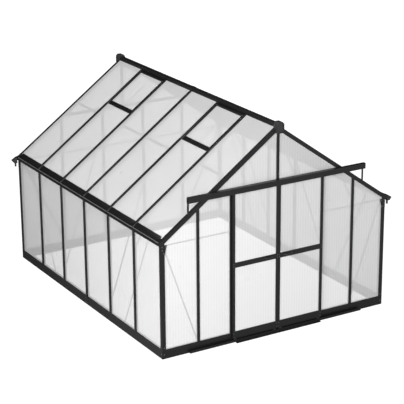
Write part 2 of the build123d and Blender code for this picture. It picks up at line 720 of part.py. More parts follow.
with BuildPart() as rear_gable_panels:
    gable_panels(1, mirrored(REAR_LINES) + REAR_LINES)
    upper_gable_panels(1)
write(rear_gable_panels, "rear_gable_panels")


def roof_panels(side):
    """The panels of one slope, from the ridge, or from a vent's sill, to the gutter."""
    for k in range(BAYS):
        low = FRONT + GABLE_RAFTER_WIDTH - GRIP if k == 0 else post_y(k) + CAP_WEB / 2 + FIT
        high = REAR - GABLE_RAFTER_WIDTH + GRIP if k == BAYS - 1 else post_y(k + 1) - CAP_WEB / 2 - FIT
        start = RIDGE_HALF + 2 * FIT
        if side < 0 and k in VENT_BAYS:
            start = (VENT_END + VENT_SILL_GAP + VENT_SILL + 4 * FIT) * C
        sheet = slope_strip(side, start, HALF + PANEL_OVERHANG, PANEL_TOP, PANEL_BOTTOM)
        prism(cross_plane(high), sheet, high - low)


with BuildPart() as roof_panels_left:
    roof_panels(-1)
write(roof_panels_left, "roof_panels_left")

with BuildPart() as roof_panels_right:
    roof_panels(1)
write(roof_panels_right, "roof_panels_right")

# ================================================================ braces
def raked_bar(start, end):
    """Outline of a flat bar from start to end, with level ends."""
    (x0, z0), (x1, z1) = start, end
    half = BAR_WIDTH / 2 * hypot(x1 - x0, z1 - z0) / abs(z1 - z0)
    return [(x0 - half, z0), (x0 + half, z0), (x1 + half, z1), (x1 - half, z1)]


with BuildPart() as side_wall_braces:
    for sx, sy in CORNERS:
        bottom_y = corner_y(sy) - sy * (END_INSET + BAY * 1.5)
        top_y = corner_y(sy) - sy * (END_INSET + BAY * 0.5)
        inner = sx * (HALF - POST_DEPTH)
        bar = raked_bar((bottom_y, BASE_HEIGHT), (top_y, EAVE_UNDERSIDE))
        prism(Plane(origin=(inner, 0, 0), x_dir=(0, 1, 0), z_dir=(1, 0, 0)), bar, -sx * SHEET)
write(side_wall_braces, "side_wall_braces")

with BuildPart() as gable_braces:
    for sx, sy in CORNERS:
        post_x = GABLE_POST_X if sy < 0 else REAR_OUTER_X
        top = (sx * (HALF - DIAGONAL_INSET), EAVE_UNDERSIDE - DIAGONAL_INSET)
        bar = raked_bar((sx * post_x, BASE_HEIGHT), top)
        prism(layer_plane(sy, POST_DEPTH + SHEET, SHEET), bar, SHEET)
write(gable_braces, "gable_braces")

with BuildPart() as eave_ties:
    corner_x = HALF - CORNER_POST
    for sx in (-1, 1):
        length = corner_x - DOOR_POST_X
        x = sx * (corner_x + DOOR_POST_X) / 2
        with Locations((x, gable_y(-1, POST_DEPTH + SHEET / 2), EAVE_UNDERSIDE - TIE_DROP)):
            Box(length, SHEET, BAR_WIDTH)
    with Locations((0, gable_y(1, POST_DEPTH + SHEET / 2), EAVE_UNDERSIDE - TIE_DROP)):
        Box(2 * corner_x, SHEET, BAR_WIDTH)
write(eave_ties, "eave_ties")

with BuildPart() as knee_braces:
    for side in (-1, 1):
        for k in range(1, BAYS):
            drop, inset = KNEE_SHORT if k % 2 else KNEE_LONG
            foot = (side * (HALF - KNEE_FOOT_INSET), EAVE_UNDERSIDE - drop)
            head_x = HALF - inset
            bar = raked_bar(foot, (side * head_x, roof_z(head_x, KNEE_HEAD_UP)))
            prism(cross_plane(post_y(k) - POST_WIDTH / 2), bar, SHEET)
write(knee_braces, "knee_braces")

# ================================================================ door track
def front_box(x, y_depths, z):
    """Box in front of the front gable: x and z ranges, and its depths in front of the wall's outer face."""
    near, far = y_depths
    with Locations(((x[0] + x[1]) / 2, FRONT - (near + far) / 2, (z[0] + z[1]) / 2)):
        Box(x[1] - x[0], far - near, z[1] - z[0])


LIP_BACK = HEADER_DEPTH - WALL
with BuildPart() as header_rail:
    full = (-HEADER_HALF, HEADER_HALF)
    front_box(full, (0, WALL), (HEADER_BOTTOM, HEADER_TOP))
    front_box(full, (0, HEADER_DEPTH), (HEADER_TOP - WALL, HEADER_TOP))
    front_box(full, (LIP_BACK, HEADER_DEPTH), (HEADER_BOTTOM, HEADER_TOP))
    front_box(full, (LIP_BACK - LEDGE, HEADER_DEPTH), (HEADER_BOTTOM, LEDGE_TOP))
write(header_rail, "header_rail")

with BuildPart() as header_end_fittings:
    for sx in (-1, 1):
        edges = sorted((sx * HEADER_HALF, sx * (HEADER_HALF + SHEET)))
        front_box(edges, (0, HEADER_DEPTH), (HEADER_BOTTOM, HEADER_TOP))
        inner, outer = HEADER_HALF - STRUT_WIDTH, HEADER_HALF - FIT
        low = GABLE_RAFTER_UP * 3 / 4
        strut = [
            (sx * inner, roof_z(inner, low)),
            (sx * outer, roof_z(outer, low)),
            (sx * outer, HEADER_BOTTOM),
            (sx * inner, HEADER_BOTTOM),
        ]
        prism(cross_plane(FRONT), strut, WALL)
write(header_end_fittings, "header_end_fittings")

with BuildPart() as bottom_guide:
    full = (-GUIDE_HALF, GUIDE_HALF)
    front_box(full, (0, WALL), (GUIDE_BOTTOM, GUIDE_TOP))
    front_box(full, (0, GUIDE_DEPTH), (GUIDE_BOTTOM, GUIDE_BOTTOM + WALL))
    front_box(full, (GUIDE_DEPTH - WALL, GUIDE_DEPTH), (GUIDE_BOTTOM, GUIDE_TOP))
write(bottom_guide, "bottom_guide")

with BuildPart() as threshold_ramp:
    back, top = GUIDE_DEPTH, GUIDE_TOP * 0.6
    with BuildSketch(Plane(origin=(0, FRONT, 0), x_dir=(0, -1, 0), z_dir=(-1, 0, 0))):
        Polygon((back, 0), (RAMP_REACH, 0), (RAMP_REACH, SHEET), (back + 2 * WALL, top), (back, top))
    extrude(amount=RAMP_HALF, both=True)
write(threshold_ramp, "threshold_ramp")

# ================================================================ sliding doors
PANEL_FRONT = LEAF_BACK + (LEAF_THICK - PANEL) / 2


def leaf_span(side, near, far):
    """X range from near to far, both measured from the doorway's middle towards one side."""
    return tuple(sorted((side * near, side * far)))


def leaf_rails():
    """Height ranges of a leaf's bottom, middle and top rails."""
    return (
        (LEAF_BOTTOM, LEAF_BOTTOM + BOTTOM_RAIL),
        (MID_RAIL_Z - MID_RAIL / 2, MID_RAIL_Z + MID_RAIL / 2),
        (LEAF_TOP - TOP_RAIL, LEAF_TOP),
    )


def leaf_frame(side):
    """Two stiles and three rails of one leaf, grooved for the panels."""
    depths = (LEAF_BACK, LEAF_FRONT)
    inner, outer = LEAF_GAP + INNER_STILE, LEAF_GAP + LEAF_WIDTH - OUTER_STILE
    front_box(leaf_span(side, LEAF_GAP, inner), depths, (LEAF_BOTTOM, LEAF_TOP))
    front_box(leaf_span(side, outer, LEAF_GAP + LEAF_WIDTH), depths, (LEAF_BOTTOM, LEAF_TOP))
    for heights in leaf_rails():
        front_box(leaf_span(side, inner + RAIL_GAP, outer - RAIL_GAP), depths, heights)
    low, mid, top = leaf_rails()
    for below, above in ((low, mid), (mid, top)):
        x = leaf_span(side, inner - GROOVE, outer + GROOVE)
        groove = (PANEL_FRONT - FIT, PANEL_FRONT + PANEL + FIT)
        y = FRONT - (groove[0] + groove[1]) / 2
        z = (below[1] - GROOVE, above[0] + GROOVE)
        with Locations(((x[0] + x[1]) / 2, y, (z[0] + z[1]) / 2)):
            Box(x[1] - x[0], groove[1] - groove[0], z[1] - z[0], mode=Mode.SUBTRACT)


def leaf_panels(side):
    """Two panels of one leaf, held in the grooves."""
    inner, outer = LEAF_GAP + INNER_STILE, LEAF_GAP + LEAF_WIDTH - OUTER_STILE
    reach = GROOVE - SLOT_END_GAP
    low, mid, top = leaf_rails()
    for below, above in ((low, mid), (mid, top)):
        x = leaf_span(side, inner - reach, outer + reach)
        front_box(x, (PANEL_FRONT, PANEL_FRONT + PANEL), (below[1] - reach, above[0] + reach))


def leaf_handle(side):
    """Bow handle: two short legs out of the middle rail, and a grip along X."""
    x0, x1 = (side * (HANDLE_X + end * (HANDLE_LENGTH / 2 - HANDLE_R)) for end in (-1, 1))
    root, tip = FRONT - LEAF_FRONT, FRONT - LEAF_FRONT - HANDLE_REACH + HANDLE_R
    z = MID_RAIL_Z + HANDLE_R
    with BuildLine() as bow:
        FilletPolyline((x0, root, z), (x0, tip, z), (x1, tip, z), (x1, root, z), radius=3 * HANDLE_R)
    with BuildSketch(Plane(origin=(x0, root, z), z_dir=(0, -1, 0))) as grip:
        Circle(HANDLE_R)
    sweep(grip.sketch, path=bow.wires()[0])
    for x in (x0, x1):
        rod(Plane(origin=(x, root, z), z_dir=(0, -1, 0)), 2 * HANDLE_R, SHEET)


def roller_xs(side):
    """X of the inner and outer roller of one leaf."""
    return {
        "inner": side * (LEAF_GAP + ROLLER_INSET),
        "outer": side * (LEAF_GAP + LEAF_WIDTH - ROLLER_INSET),
    }


WHEEL_BACK = LEAF_FRONT + 2.5           # gable's outer face to the back of a roller


def leaf_axles(side):
    """Shoulder pins on the top rail that carry the rollers."""
    for x in roller_xs(side).values():
        root = Plane(origin=(x, FRONT - LEAF_FRONT, ROLLER_Z), z_dir=(0, -1, 0))
        collar = WHEEL_BACK - LEAF_FRONT - AXLE_PLAY
        rod(root, AXLE_R + 2, collar)
        rod(root, AXLE_R, collar + 2 * AXLE_PLAY + ROLLER_WIDTH)
        rod(root.offset(collar + 2 * AXLE_PLAY + ROLLER_WIDTH), AXLE_R + 2, AXLE_HEAD)


def roller(x):
    """Nylon wheel that runs on the header's ledge."""
    back = Plane(origin=(x, FRONT - WHEEL_BACK, ROLLER_Z), z_dir=(0, -1, 0))
    rod(back, ROLLER_R, ROLLER_WIDTH)
    rod(back, AXLE_R + AXLE_CLEARANCE, ROLLER_WIDTH, mode=Mode.SUBTRACT)


def leaf_shoes(side):
    """Two guide shoes under a leaf, in the bottom guide."""
    for end in (SHOE_LENGTH, LEAF_WIDTH - SHOE_LENGTH):
        middle = LEAF_GAP + end
        x = leaf_span(side, middle - SHOE_LENGTH / 2, middle + SHOE_LENGTH / 2)
        depths = (WALL + SHOE_SIDE_GAP, GUIDE_DEPTH - WALL - SHOE_SIDE_GAP)
        front_box(x, depths, (SHOE_BOTTOM, LEAF_BOTTOM))


for side, hand in ((-1, "left"), (1, "right")):
    with BuildPart() as door_frame:
        leaf_frame(side)
    write(door_frame, f"door_{hand}_frame")
    with BuildPart() as door_panels:
        leaf_panels(side)
    write(door_panels, f"door_{hand}_panels")
    with BuildPart() as door_handle:
        leaf_handle(side)
    write(door_handle, f"door_{hand}_handle")
    with BuildPart() as door_axles:
        leaf_axles(side)
    write(door_axles, f"door_{hand}_axles")
    with BuildPart() as door_shoes:
        leaf_shoes(side)
    write(door_shoes, f"door_{hand}_guide_shoes")
    for place, x in roller_xs(side).items():
        with BuildPart() as door_roller:
            roller(x)
        write(door_roller, f"door_{hand}_roller_{place}")

# ================================================================ roof vents
VENT_WIDTH = CLEAR_BAY - 2 * VENT_SIDE_GAP
STAY_OFFSET = BAR_WIDTH / 2             # stay arm's middle, from the bay's middle along Y


def up_sketch(y, at, up):
    """Plane across the left slope at y, centred down the slope and outwards from the roof plane."""
    origin = (-at * C - up * S, y, RIDGE_HEIGHT - at * S + up * C)
    return Plane(origin=origin, x_dir=(-C, 0, -S), z_dir=(0, 1, 0))


def slope_pin(y, at, up, radius, length):
    """Pin across the left slope, along +Y from y."""
    rod(up_sketch(y, at, up), radius, length)


def vent_frame(y):
    """Four rails of one vent in one welded frame, with a stub pin at each end of its top rail."""
    up = (VENT_BOTTOM, VENT_TOP)
    slope_box(-1, y, (VENT_START, VENT_END), VENT_WIDTH, up)
    for groove, layer in ((0, up), (GROOVE, (PANEL_BOTTOM - FIT, PANEL_TOP + FIT))):
        opening = (VENT_START + VENT_RAIL - groove, VENT_END - VENT_RAIL + groove)
        slope_box(-1, y, opening, VENT_WIDTH - 2 * (VENT_STILE - groove), layer, mode=Mode.SUBTRACT)
    pin = EAR_GAP + EAR
    slope_pin(y - VENT_WIDTH / 2 - pin, VENT_HINGE_AT, 0, PIN_R, pin)
    slope_pin(y + VENT_WIDTH / 2, VENT_HINGE_AT, 0, PIN_R, pin)


def vent_panel(y):
    """Panel of one vent, held in its frame's grooves."""
    reach = GROOVE - SLOT_END_GAP
    span = (VENT_START + VENT_RAIL - reach, VENT_END - VENT_RAIL + reach)
    slope_box(-1, y, span, VENT_WIDTH - 2 * (VENT_STILE - reach), (PANEL_BOTTOM, PANEL_TOP))


def stay_bracket(y):
    """Plate under the vent's bottom rail, with the stay's pivot pin."""
    face = y + STAY_OFFSET - STAY / 2 - AXLE_PLAY
    low, rail_edge = STAY_PIVOT_UP - EAR_R, VENT_END - VENT_RAIL
    plate = [
        (STAY_PIVOT_AT - EAR_R, low),
        (STAY_PIVOT_AT + EAR_R, low),
        (VENT_END - SHEET, VENT_BOTTOM),
        (rail_edge, VENT_BOTTOM),
        (STAY_PIVOT_AT - EAR_R, VENT_BOTTOM - SHEET),
    ]
    prism(up_sketch(face, 0, 0), plate, -SHEET)
    shank = STAY + 2 * AXLE_PLAY
    slope_pin(face, STAY_PIVOT_AT, STAY_PIVOT_UP, PIN_R, shank)
    slope_pin(face + shank, STAY_PIVOT_AT, STAY_PIVOT_UP, PIN_R + 2, AXLE_HEAD)


def stay_arm(y):
    """Flat stay, folded up the slope under the vent, with a row of holes for the peg."""
    half = STAY_LENGTH / 2
    plane = up_sketch(y + STAY_OFFSET - STAY / 2, STAY_PIVOT_AT - half, STAY_PIVOT_UP)
    with BuildSketch(plane) as arm:
        SlotCenterToCenter(STAY_LENGTH, STAY_WIDTH)
        with Locations((half, 0)):
            Circle(PIN_R + AXLE_CLEARANCE, mode=Mode.SUBTRACT)
        with Locations(*[(i * STAY_HOLE_PITCH - half, 0) for i in range(STAY_HOLES)]):
            Circle(STAY_HOLE_R, mode=Mode.SUBTRACT)
    extrude(arm.sketch, amount=STAY)


with BuildPart() as vent_hinge_ears:
    for k in VENT_BAYS:
        for edge in (-1, 1):
            middle = bay_y(k) + edge * (VENT_WIDTH / 2 + EAR_GAP + EAR / 2)
            x, z = VENT_HINGE_AT * C, RIDGE_HEIGHT - VENT_HINGE_AT * S
            with BuildSketch(Plane(origin=(0, middle, 0), x_dir=(-1, 0, 0), z_dir=(0, 1, 0))):
                Polygon(
                    (RIDGE_HALF, z - 2 * EAR_R),
                    (x, z - EAR_R),
                    (x, z + EAR_R),
                    (RIDGE_HALF, z + 2 * EAR_R),
                )
                with Locations((x, z)):
                    Circle(EAR_R)
                    Circle(PIN_R + AXLE_CLEARANCE, mode=Mode.SUBTRACT)
            extrude(amount=EAR / 2, both=True)
write(vent_hinge_ears, "vent_hinge_ears")

with BuildPart() as vent_sills:
    for k in VENT_BAYS:
        sill_face = VENT_END + VENT_SILL_GAP
        across = (sill_face, sill_face + VENT_SILL)
        slope_box(-1, bay_y(k), across, CLEAR_BAY, (VENT_SILL_BOTTOM, 0))
        arm_face = bay_y(k) + STAY_OFFSET + STAY / 2
        plate = [
            (STAY_PEG_AT - EAR_R / 2, STAY_PEG_UP + EAR_R / 2),
            (STAY_PEG_AT - EAR_R / 2, STAY_PEG_UP - EAR_R / 2),
            (sill_face, STAY_PEG_UP - EAR_R / 2),
            (sill_face, STAY_PEG_UP + EAR_R),
        ]
        prism(up_sketch(arm_face + SHEET, 0, 0), plate, SHEET)
        slope_pin(arm_face + PEG_GAP, STAY_PEG_AT, STAY_PEG_UP, PIN_R, SHEET - PEG_GAP)
write(vent_sills, "vent_sills")

for k in VENT_BAYS:
    name = VENT_NAMES[k]
    with BuildPart() as one_frame:
        vent_frame(bay_y(k))
    write(one_frame, f"{name}_frame")
    with BuildPart() as one_panel:
        vent_panel(bay_y(k))
    write(one_panel, f"{name}_panel")
    with BuildPart() as one_bracket:
        stay_bracket(bay_y(k))
    write(one_bracket, f"{name}_stay_bracket")
    with BuildPart() as one_arm:
        stay_arm(bay_y(k))
    write(one_arm, f"{name}_stay_arm")
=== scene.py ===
"""Looks of a walk-in greenhouse: twin-wall glazing in a black powder-coated frame, in metres.

X runs across the gables, Y along the house and Z up. The doors are in the gable at -Y. "Up" on a roof
slope is a distance outwards from the roof plane, the outer face of the glazing caps.
"""
import json
import logging
from dataclasses import dataclass, field, replace
from enum import Enum
from math import cos, pi, radians, sin
from typing import Iterable, Sequence

import bmesh
import bpy
from mathutils import Matrix, Vector

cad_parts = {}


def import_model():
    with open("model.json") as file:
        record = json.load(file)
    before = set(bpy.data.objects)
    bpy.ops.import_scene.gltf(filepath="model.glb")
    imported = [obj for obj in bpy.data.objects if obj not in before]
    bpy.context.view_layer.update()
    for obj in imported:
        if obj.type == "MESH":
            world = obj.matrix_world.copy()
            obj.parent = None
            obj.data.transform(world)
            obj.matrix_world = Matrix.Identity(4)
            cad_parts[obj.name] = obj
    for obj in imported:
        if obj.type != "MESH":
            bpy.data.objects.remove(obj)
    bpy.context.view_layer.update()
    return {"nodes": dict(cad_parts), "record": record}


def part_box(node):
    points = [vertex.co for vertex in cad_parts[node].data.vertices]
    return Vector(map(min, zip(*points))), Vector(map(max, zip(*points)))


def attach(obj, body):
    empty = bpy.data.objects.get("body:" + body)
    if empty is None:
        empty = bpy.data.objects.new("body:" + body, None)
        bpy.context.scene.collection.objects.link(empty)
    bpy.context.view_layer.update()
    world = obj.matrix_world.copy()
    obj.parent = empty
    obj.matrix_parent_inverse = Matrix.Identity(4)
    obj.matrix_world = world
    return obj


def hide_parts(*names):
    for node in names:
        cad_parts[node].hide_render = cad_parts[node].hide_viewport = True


log = logging.getLogger("greenhouse")
Point = Sequence[float]
MM = 0.001
SIDES = (-1, 1)
HOUSE_BODY = "greenhouse_frame"
SEAT = 0.2 * MM                 # a cover's gap to the face it lies on


class Slot(Enum):
    """The record's material slots."""

    FRAME = "frame"
    BRACE = "brace_bar"
    PANEL = "panel"
    MOULDING = "moulding"
    ROLLER = "roller"
    FASTENER = "fastener"


class Across(Enum):
    """The axis across which a sheet's flutes follow each other."""

    X = "X"
    Y = "Y"


# ---------------------------------------------------------------- materials
def linear(colour: str) -> tuple[float, float, float, float]:
    """Turn an sRGB hex colour into linear red, green, blue and an alpha of 1.

    Args:
        colour: The colour, such as "#2b2c2e".

    Returns:
        The linear colour.
    """
    channels = [int(colour[i : i + 2], 16) / 255 for i in (1, 3, 5)]
    straight = [c / 12.92 if c <= 0.04045 else ((c + 0.055) / 1.055) ** 2.4 for c in channels]
    return (*straight, 1.0)


def add_node(tree: bpy.types.NodeTree, kind: str, inputs: dict, **settings) -> bpy.types.Node:
    """Add one node with its settings, values and links.

    Args:
        tree: The node tree to add to.
        kind: The node's type name.
        inputs: Values or sockets by input name or number.
        settings: The node's own properties.

    Returns:
        The node.
    """
    node = tree.nodes.new(kind)
    for key, value in settings.items():
        setattr(node, key, value)
    for key, value in inputs.items():
        if isinstance(value, bpy.types.NodeSocket):
            tree.links.new(value, node.inputs[key])
        else:
            node.inputs[key].default_value = value
    return node


@dataclass(frozen=True)
class Finish:
    """One real material and how its surface was made."""

    name: str
    colour: str
    second_colour: str
    roughness: float
    metallic: float = 0.0
    ior: float = 1.5
    grain_mm: float = 2.0       # size of the surface's grain
    relief_mm: float = 0.05     # height of the surface's grain
    alpha: float = 1.0
    roughness_spread: float = 0.06
    slot: Slot = Slot.FRAME

    def pattern(self, tree: bpy.types.NodeTree, place: bpy.types.NodeSocket) -> bpy.types.NodeSocket:
        """Give the pattern, from 0 to 1, that mixes the two colours and shapes the surface.

        Args:
            tree: The material's node tree.
            place: The point in the row frame.

        Returns:
            The pattern's output socket.
        """
        noise = add_node(
            tree,
            "ShaderNodeTexNoise",
            {"Vector": place, "Scale": 1 / (self.grain_mm * MM), "Detail": 4.0, "Roughness": 0.55},
        )
        return noise.outputs["Fac"]

    def material(self) -> bpy.types.Material:
        """Build the material once and hand it out again after that.

        Returns:
            The Blender material.
        """
        made = bpy.data.materials.get(self.name)
        if made:
            return made
        made = bpy.data.materials.new(self.name)
        made.use_nodes = True
        tree = made.node_tree
        tree.nodes.clear()
        place = add_node(tree, "ShaderNodeTexCoord", {}).outputs["Object"]
        pattern = self.pattern(tree, place)
        colours = add_node(
            tree,
            "ShaderNodeMix",
            {0: pattern, 6: linear(self.colour), 7: linear(self.second_colour)},
            data_type="RGBA",
        )
        patches = add_node(
            tree, "ShaderNodeTexNoise", {"Vector": place, "Scale": 3.0, "Detail": 3.0, "Roughness": 0.6}
        )
        roughness = add_node(
            tree,
            "ShaderNodeMapRange",
            {
                "Value": patches.outputs["Fac"],
                "To Min": max(0.02, self.roughness - self.roughness_spread),
                "To Max": min(1.0, self.roughness + self.roughness_spread),
            },
        )
        bump = add_node(
            tree, "ShaderNodeBump", {"Height": pattern, "Strength": 0.6, "Distance": self.relief_mm * MM}
        )
        shader = add_node(
            tree,
            "ShaderNodeBsdfPrincipled",
            {
                "Base Color": colours.outputs[2],
                "Roughness": roughness.outputs["Result"],
                "Normal": bump.outputs["Normal"],
                "Metallic": self.metallic,
                "Alpha": self.alpha,
            },
        )
        if not self.metallic:
            shader.inputs["IOR"].default_value = self.ior
        add_node(tree, "ShaderNodeOutputMaterial", {"Surface": shader.outputs["BSDF"]})
        return made


@dataclass(frozen=True)
class TwinWallSheet(Finish):
    """Extruded twin-wall polycarbonate: milky, with the webs between its skins as faint stripes."""

    across: Across = Across.Y
    web_pitch_mm: float = 36.0  # real webs are 6 mm apart; drawn six times as coarse, so that they show

    def pattern(self, tree: bpy.types.NodeTree, place: bpy.types.NodeSocket) -> bpy.types.NodeSocket:
        """Stripes of the webs, across the sheet's flutes.

        Args:
            tree: The material's node tree.
            place: The point in the row frame.

        Returns:
            The pattern's output socket.
        """
        stripes = add_node(
            tree,
            "ShaderNodeTexWave",
            {"Vector": place, "Scale": pi / 10 / (self.web_pitch_mm * MM), "Distortion": 0.0},
            wave_type="BANDS",
            bands_direction=self.across.value,
            wave_profile="SIN",
        )
        cloud = add_node(
            tree, "ShaderNodeTexNoise", {"Vector": place, "Scale": 1.6, "Detail": 2.0, "Roughness": 0.5}
        )
        mix = add_node(
            tree,
            "ShaderNodeMix",
            {0: 0.45, 2: stripes.outputs["Fac"], 3: cloud.outputs["Fac"]},
            data_type="FLOAT",
        )
        return mix.outputs[0]


# Polyester powder coat on aluminium and steel sheet: near black, satin, with a fine orange peel
# drawn at 6 mm so that it shows.
POWDER_COAT = Finish(
    "powder_coated_aluminium", "#121213", "#171718", 0.38, ior=1.5, grain_mm=6.0, relief_mm=0.12
)
# Rolled aluminium bar as it leaves the mill: dull grey, softly streaked.
MILL_BAR = Finish(
    "mill_finish_aluminium_bar", "#75777a", "#86888b", 0.5, metallic=1.0, grain_mm=9.0, slot=Slot.BRACE
)
# Glass-filled nylon out of a spark-eroded mould: black with a dry, fine grain.
MOULDED_NYLON = Finish(
    "moulded_glass_filled_nylon",
    "#232425",
    "#2d2e30",
    0.58,
    ior=1.53,
    grain_mm=1.2,
    relief_mm=0.1,
    slot=Slot.MOULDING,
)
# Turned acetal: off-white, waxy.
TURNED_ACETAL = Finish(
    "turned_acetal", "#d2d1cb", "#c3c2bc", 0.38, ior=1.48, grain_mm=3.0, relief_mm=0.02, slot=Slot.ROLLER
)
# Zinc-plated steel: bright grey with a mottled passivated film.
ZINC_PLATE = Finish(
    "zinc_plated_steel", "#8f9194", "#a5a7a9", 0.36, metallic=1.0, relief_mm=0.02, slot=Slot.FASTENER
)
# Extruded rubber seal: deep black and matt.
SEAL_RUBBER = Finish(
    "extruded_epdm_rubber", "#161616", "#1d1d1d", 0.75, ior=1.52, grain_mm=1.5, slot=Slot.MOULDING
)
# Woven pile of a brush seal: dark grey fibres, drawn 1.5 mm apart.
PILE = Finish(
    "woven_polypropylene_pile",
    "#2b2c2d",
    "#47484a",
    0.9,
    ior=1.49,
    grain_mm=1.5,
    relief_mm=0.6,
    slot=Slot.MOULDING,
)
# Extruded twin-wall polycarbonate: clear skins that turn milky with the webs between them.
SHEET_ACROSS_Y = TwinWallSheet(
    "twin_wall_polycarbonate_side",
    "#f4f4f4",
    "#e6e6e6",
    0.3,
    ior=1.585,
    relief_mm=0.4,
    alpha=0.5,
    slot=Slot.PANEL,
)
SHEET_ACROSS_X = replace(SHEET_ACROSS_Y, name="twin_wall_polycarbonate_gable", across=Across.X)
SLOT_FINISH = {
    finish.slot: finish
    for finish in (POWDER_COAT, MILL_BAR, SHEET_ACROSS_Y, MOULDED_NYLON, TURNED_ACETAL, ZINC_PLATE)
}


# ---------------------------------------------------------------- mesh
class Shape:
    """Closed solids gathered into one mesh."""

    def __init__(self) -> None:
        """Start with an empty mesh."""
        self.mesh = bmesh.new()

    def _soften(self, faces: list, bevel: float) -> None:
        """Round the edges between the given faces.

        Args:
            faces: The faces of one solid.
            bevel: Width of the rounding, in metres.
        """
        bmesh.ops.recalc_face_normals(self.mesh, faces=faces)
        if bevel <= 0:
            return
        edges = list({edge for face in faces for edge in face.edges})
        bmesh.ops.bevel(
            self.mesh, geom=edges, offset=bevel, segments=2, profile=0.6, affect="EDGES", clamp_overlap=True
        )

    def prism(self, outline: Iterable[Point], along: Point, bevel: float = 0.0) -> None:
        """Add the solid that a flat outline sweeps along a vector.

        Args:
            outline: The outline's corners, in the row frame.
            along: The sweep.
            bevel: Rounding of its edges.
        """
        near = [self.mesh.verts.new(Vector(p)) for p in outline]
        far = [self.mesh.verts.new(v.co + Vector(along)) for v in near]
        faces = [self.mesh.faces.new(near), self.mesh.faces.new(far[::-1])]
        for i, vert in enumerate(near):
            after = (i + 1) % len(near)
            faces.append(self.mesh.faces.new((vert, far[i], far[after], near[after])))
        self._soften(faces, bevel)

    def slab(self, low: Point, high: Point, bevel: float = 0.0) -> None:
        """Add a box between two corners.

        Args:
            low: One corner.
            high: The opposite corner.
            bevel: Rounding of its edges.
        """
        (x0, x1), (y0, y1), (z0, z1) = (sorted(pair) for pair in zip(low, high))
        base = [(x0, y0, z0), (x1, y0, z0), (x1, y1, z0), (x0, y1, z0)]
        self.prism(base, (0, 0, z1 - z0), bevel)

    def _skin(self, rings: list, capped: bool) -> None:
        """Join each ring of vertices to the next one.

        Args:
            rings: Rings of equally many vertices.
            capped: Whether both ends get a face, or else the last ring joins the first.
        """
        faces = [self.mesh.faces.new(rings[0][::-1]), self.mesh.faces.new(rings[-1])] if capped else []
        for lower, upper in zip(rings, rings[1:] if capped else rings[1:] + rings[:1]):
            for i, vert in enumerate(lower):
                after = (i + 1) % len(lower)
                faces.append(self.mesh.faces.new((vert, lower[after], upper[after], upper[i])))
        self._soften(faces, 0.0)

    def turned(
        self, foot: Point, axis: Point, profile: Iterable[tuple[float, float]], sides: int, solid: bool = True
    ) -> None:
        """Add a solid of revolution.

        Args:
            foot: Where the profile's distance is 0.
            axis: Direction of the axis.
            profile: Distance along the axis and radius, from one end to the other or around a ring's section.
            sides: Number of sides of its circles.
            solid: Whether the axis runs through the solid, or else it is a ring.
        """
        turn = Vector((0, 0, 1)).rotation_difference(Vector(axis)).to_matrix()
        around = [2 * pi * i / sides for i in range(sides)]
        rings = []
        for along, r in profile:
            points = (Vector((r * cos(a), r * sin(a), along)) for a in around)
            rings.append([self.mesh.verts.new(Vector(foot) + turn @ point) for point in points])
        self._skin(rings, solid)

    def tube(self, line: Sequence[Vector], radii: Sequence[float], up: Point, sides: int = 16) -> None:
        """Add a round bar along a line.

        Args:
            line: Points of the line.
            radii: Radius at each point.
            up: A direction square to the line.
            sides: Number of sides of its section.
        """
        around = [2 * pi * k / sides for k in range(sides)]
        rings = []
        for i, point in enumerate(line):
            ahead = line[min(i + 1, len(line) - 1)] - line[max(i - 1, 0)]
            tall, r = Vector(up), radii[i]
            deep = ahead.cross(tall).normalized()
            rings.append([self.mesh.verts.new(point + tall * r * sin(a) + deep * r * cos(a)) for a in around])
        self._skin(rings, True)

    def bead(self, start: Point, end: Point, leg_a: Point, leg_b: Point) -> None:
        """Add a three-cornered seal along an inside corner.

        Args:
            start: Start of the corner line.
            end: End of the corner line.
            leg_a: Reach along one face.
            leg_b: Reach along the other face.
        """
        corner = Vector(start)
        outline = (corner, corner + Vector(leg_a), corner + Vector(leg_b))
        self.prism(outline, Vector(end) - corner)

    def screw(self, face: Point, out: Point, radius: float, sides: int = 12) -> None:
        """Add a pan-headed screw.

        Args:
            face: Where its head sits.
            out: Direction out of the face.
            radius: Radius of the head.
            sides: Number of sides, 6 for a hexagon head.
        """
        tall = radius * 0.5
        shoulder = (tall * 0.55, radius) if sides > 6 else (tall, radius * 0.94)
        self.turned(face, out, ((-SEAT, radius), shoulder, (tall, radius * 0.6)), sides)

    def piece(self, name: str, finish: Finish, body: str = HOUSE_BODY) -> bpy.types.Object:
        """Turn the solids into one piece that rides on a body.

        Args:
            name: The piece's name.
            finish: What it is made of.
            body: The body it rides on.

        Returns:
            The piece.
        """
        data = bpy.data.meshes.new(name)
        self.mesh.to_mesh(data)
        self.mesh.free()
        data.polygons.foreach_set("use_smooth", [True] * len(data.polygons))
        data.set_sharp_from_angle(angle=radians(35))
        data.materials.append(finish.material())
        piece = bpy.data.objects.new(name, data)
        bpy.context.scene.collection.objects.link(piece)
        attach(piece, body)
        log.info("%s: %d faces, %s", name, len(data.polygons), finish.name)
        return piece


def mirrored(right: Sequence[tuple[float, float]]) -> list[tuple[float, float]]:
    """Outline in X and Z whose left half mirrors the right one."""
    return [*right, *((-x, z) for x, z in reversed(right))]


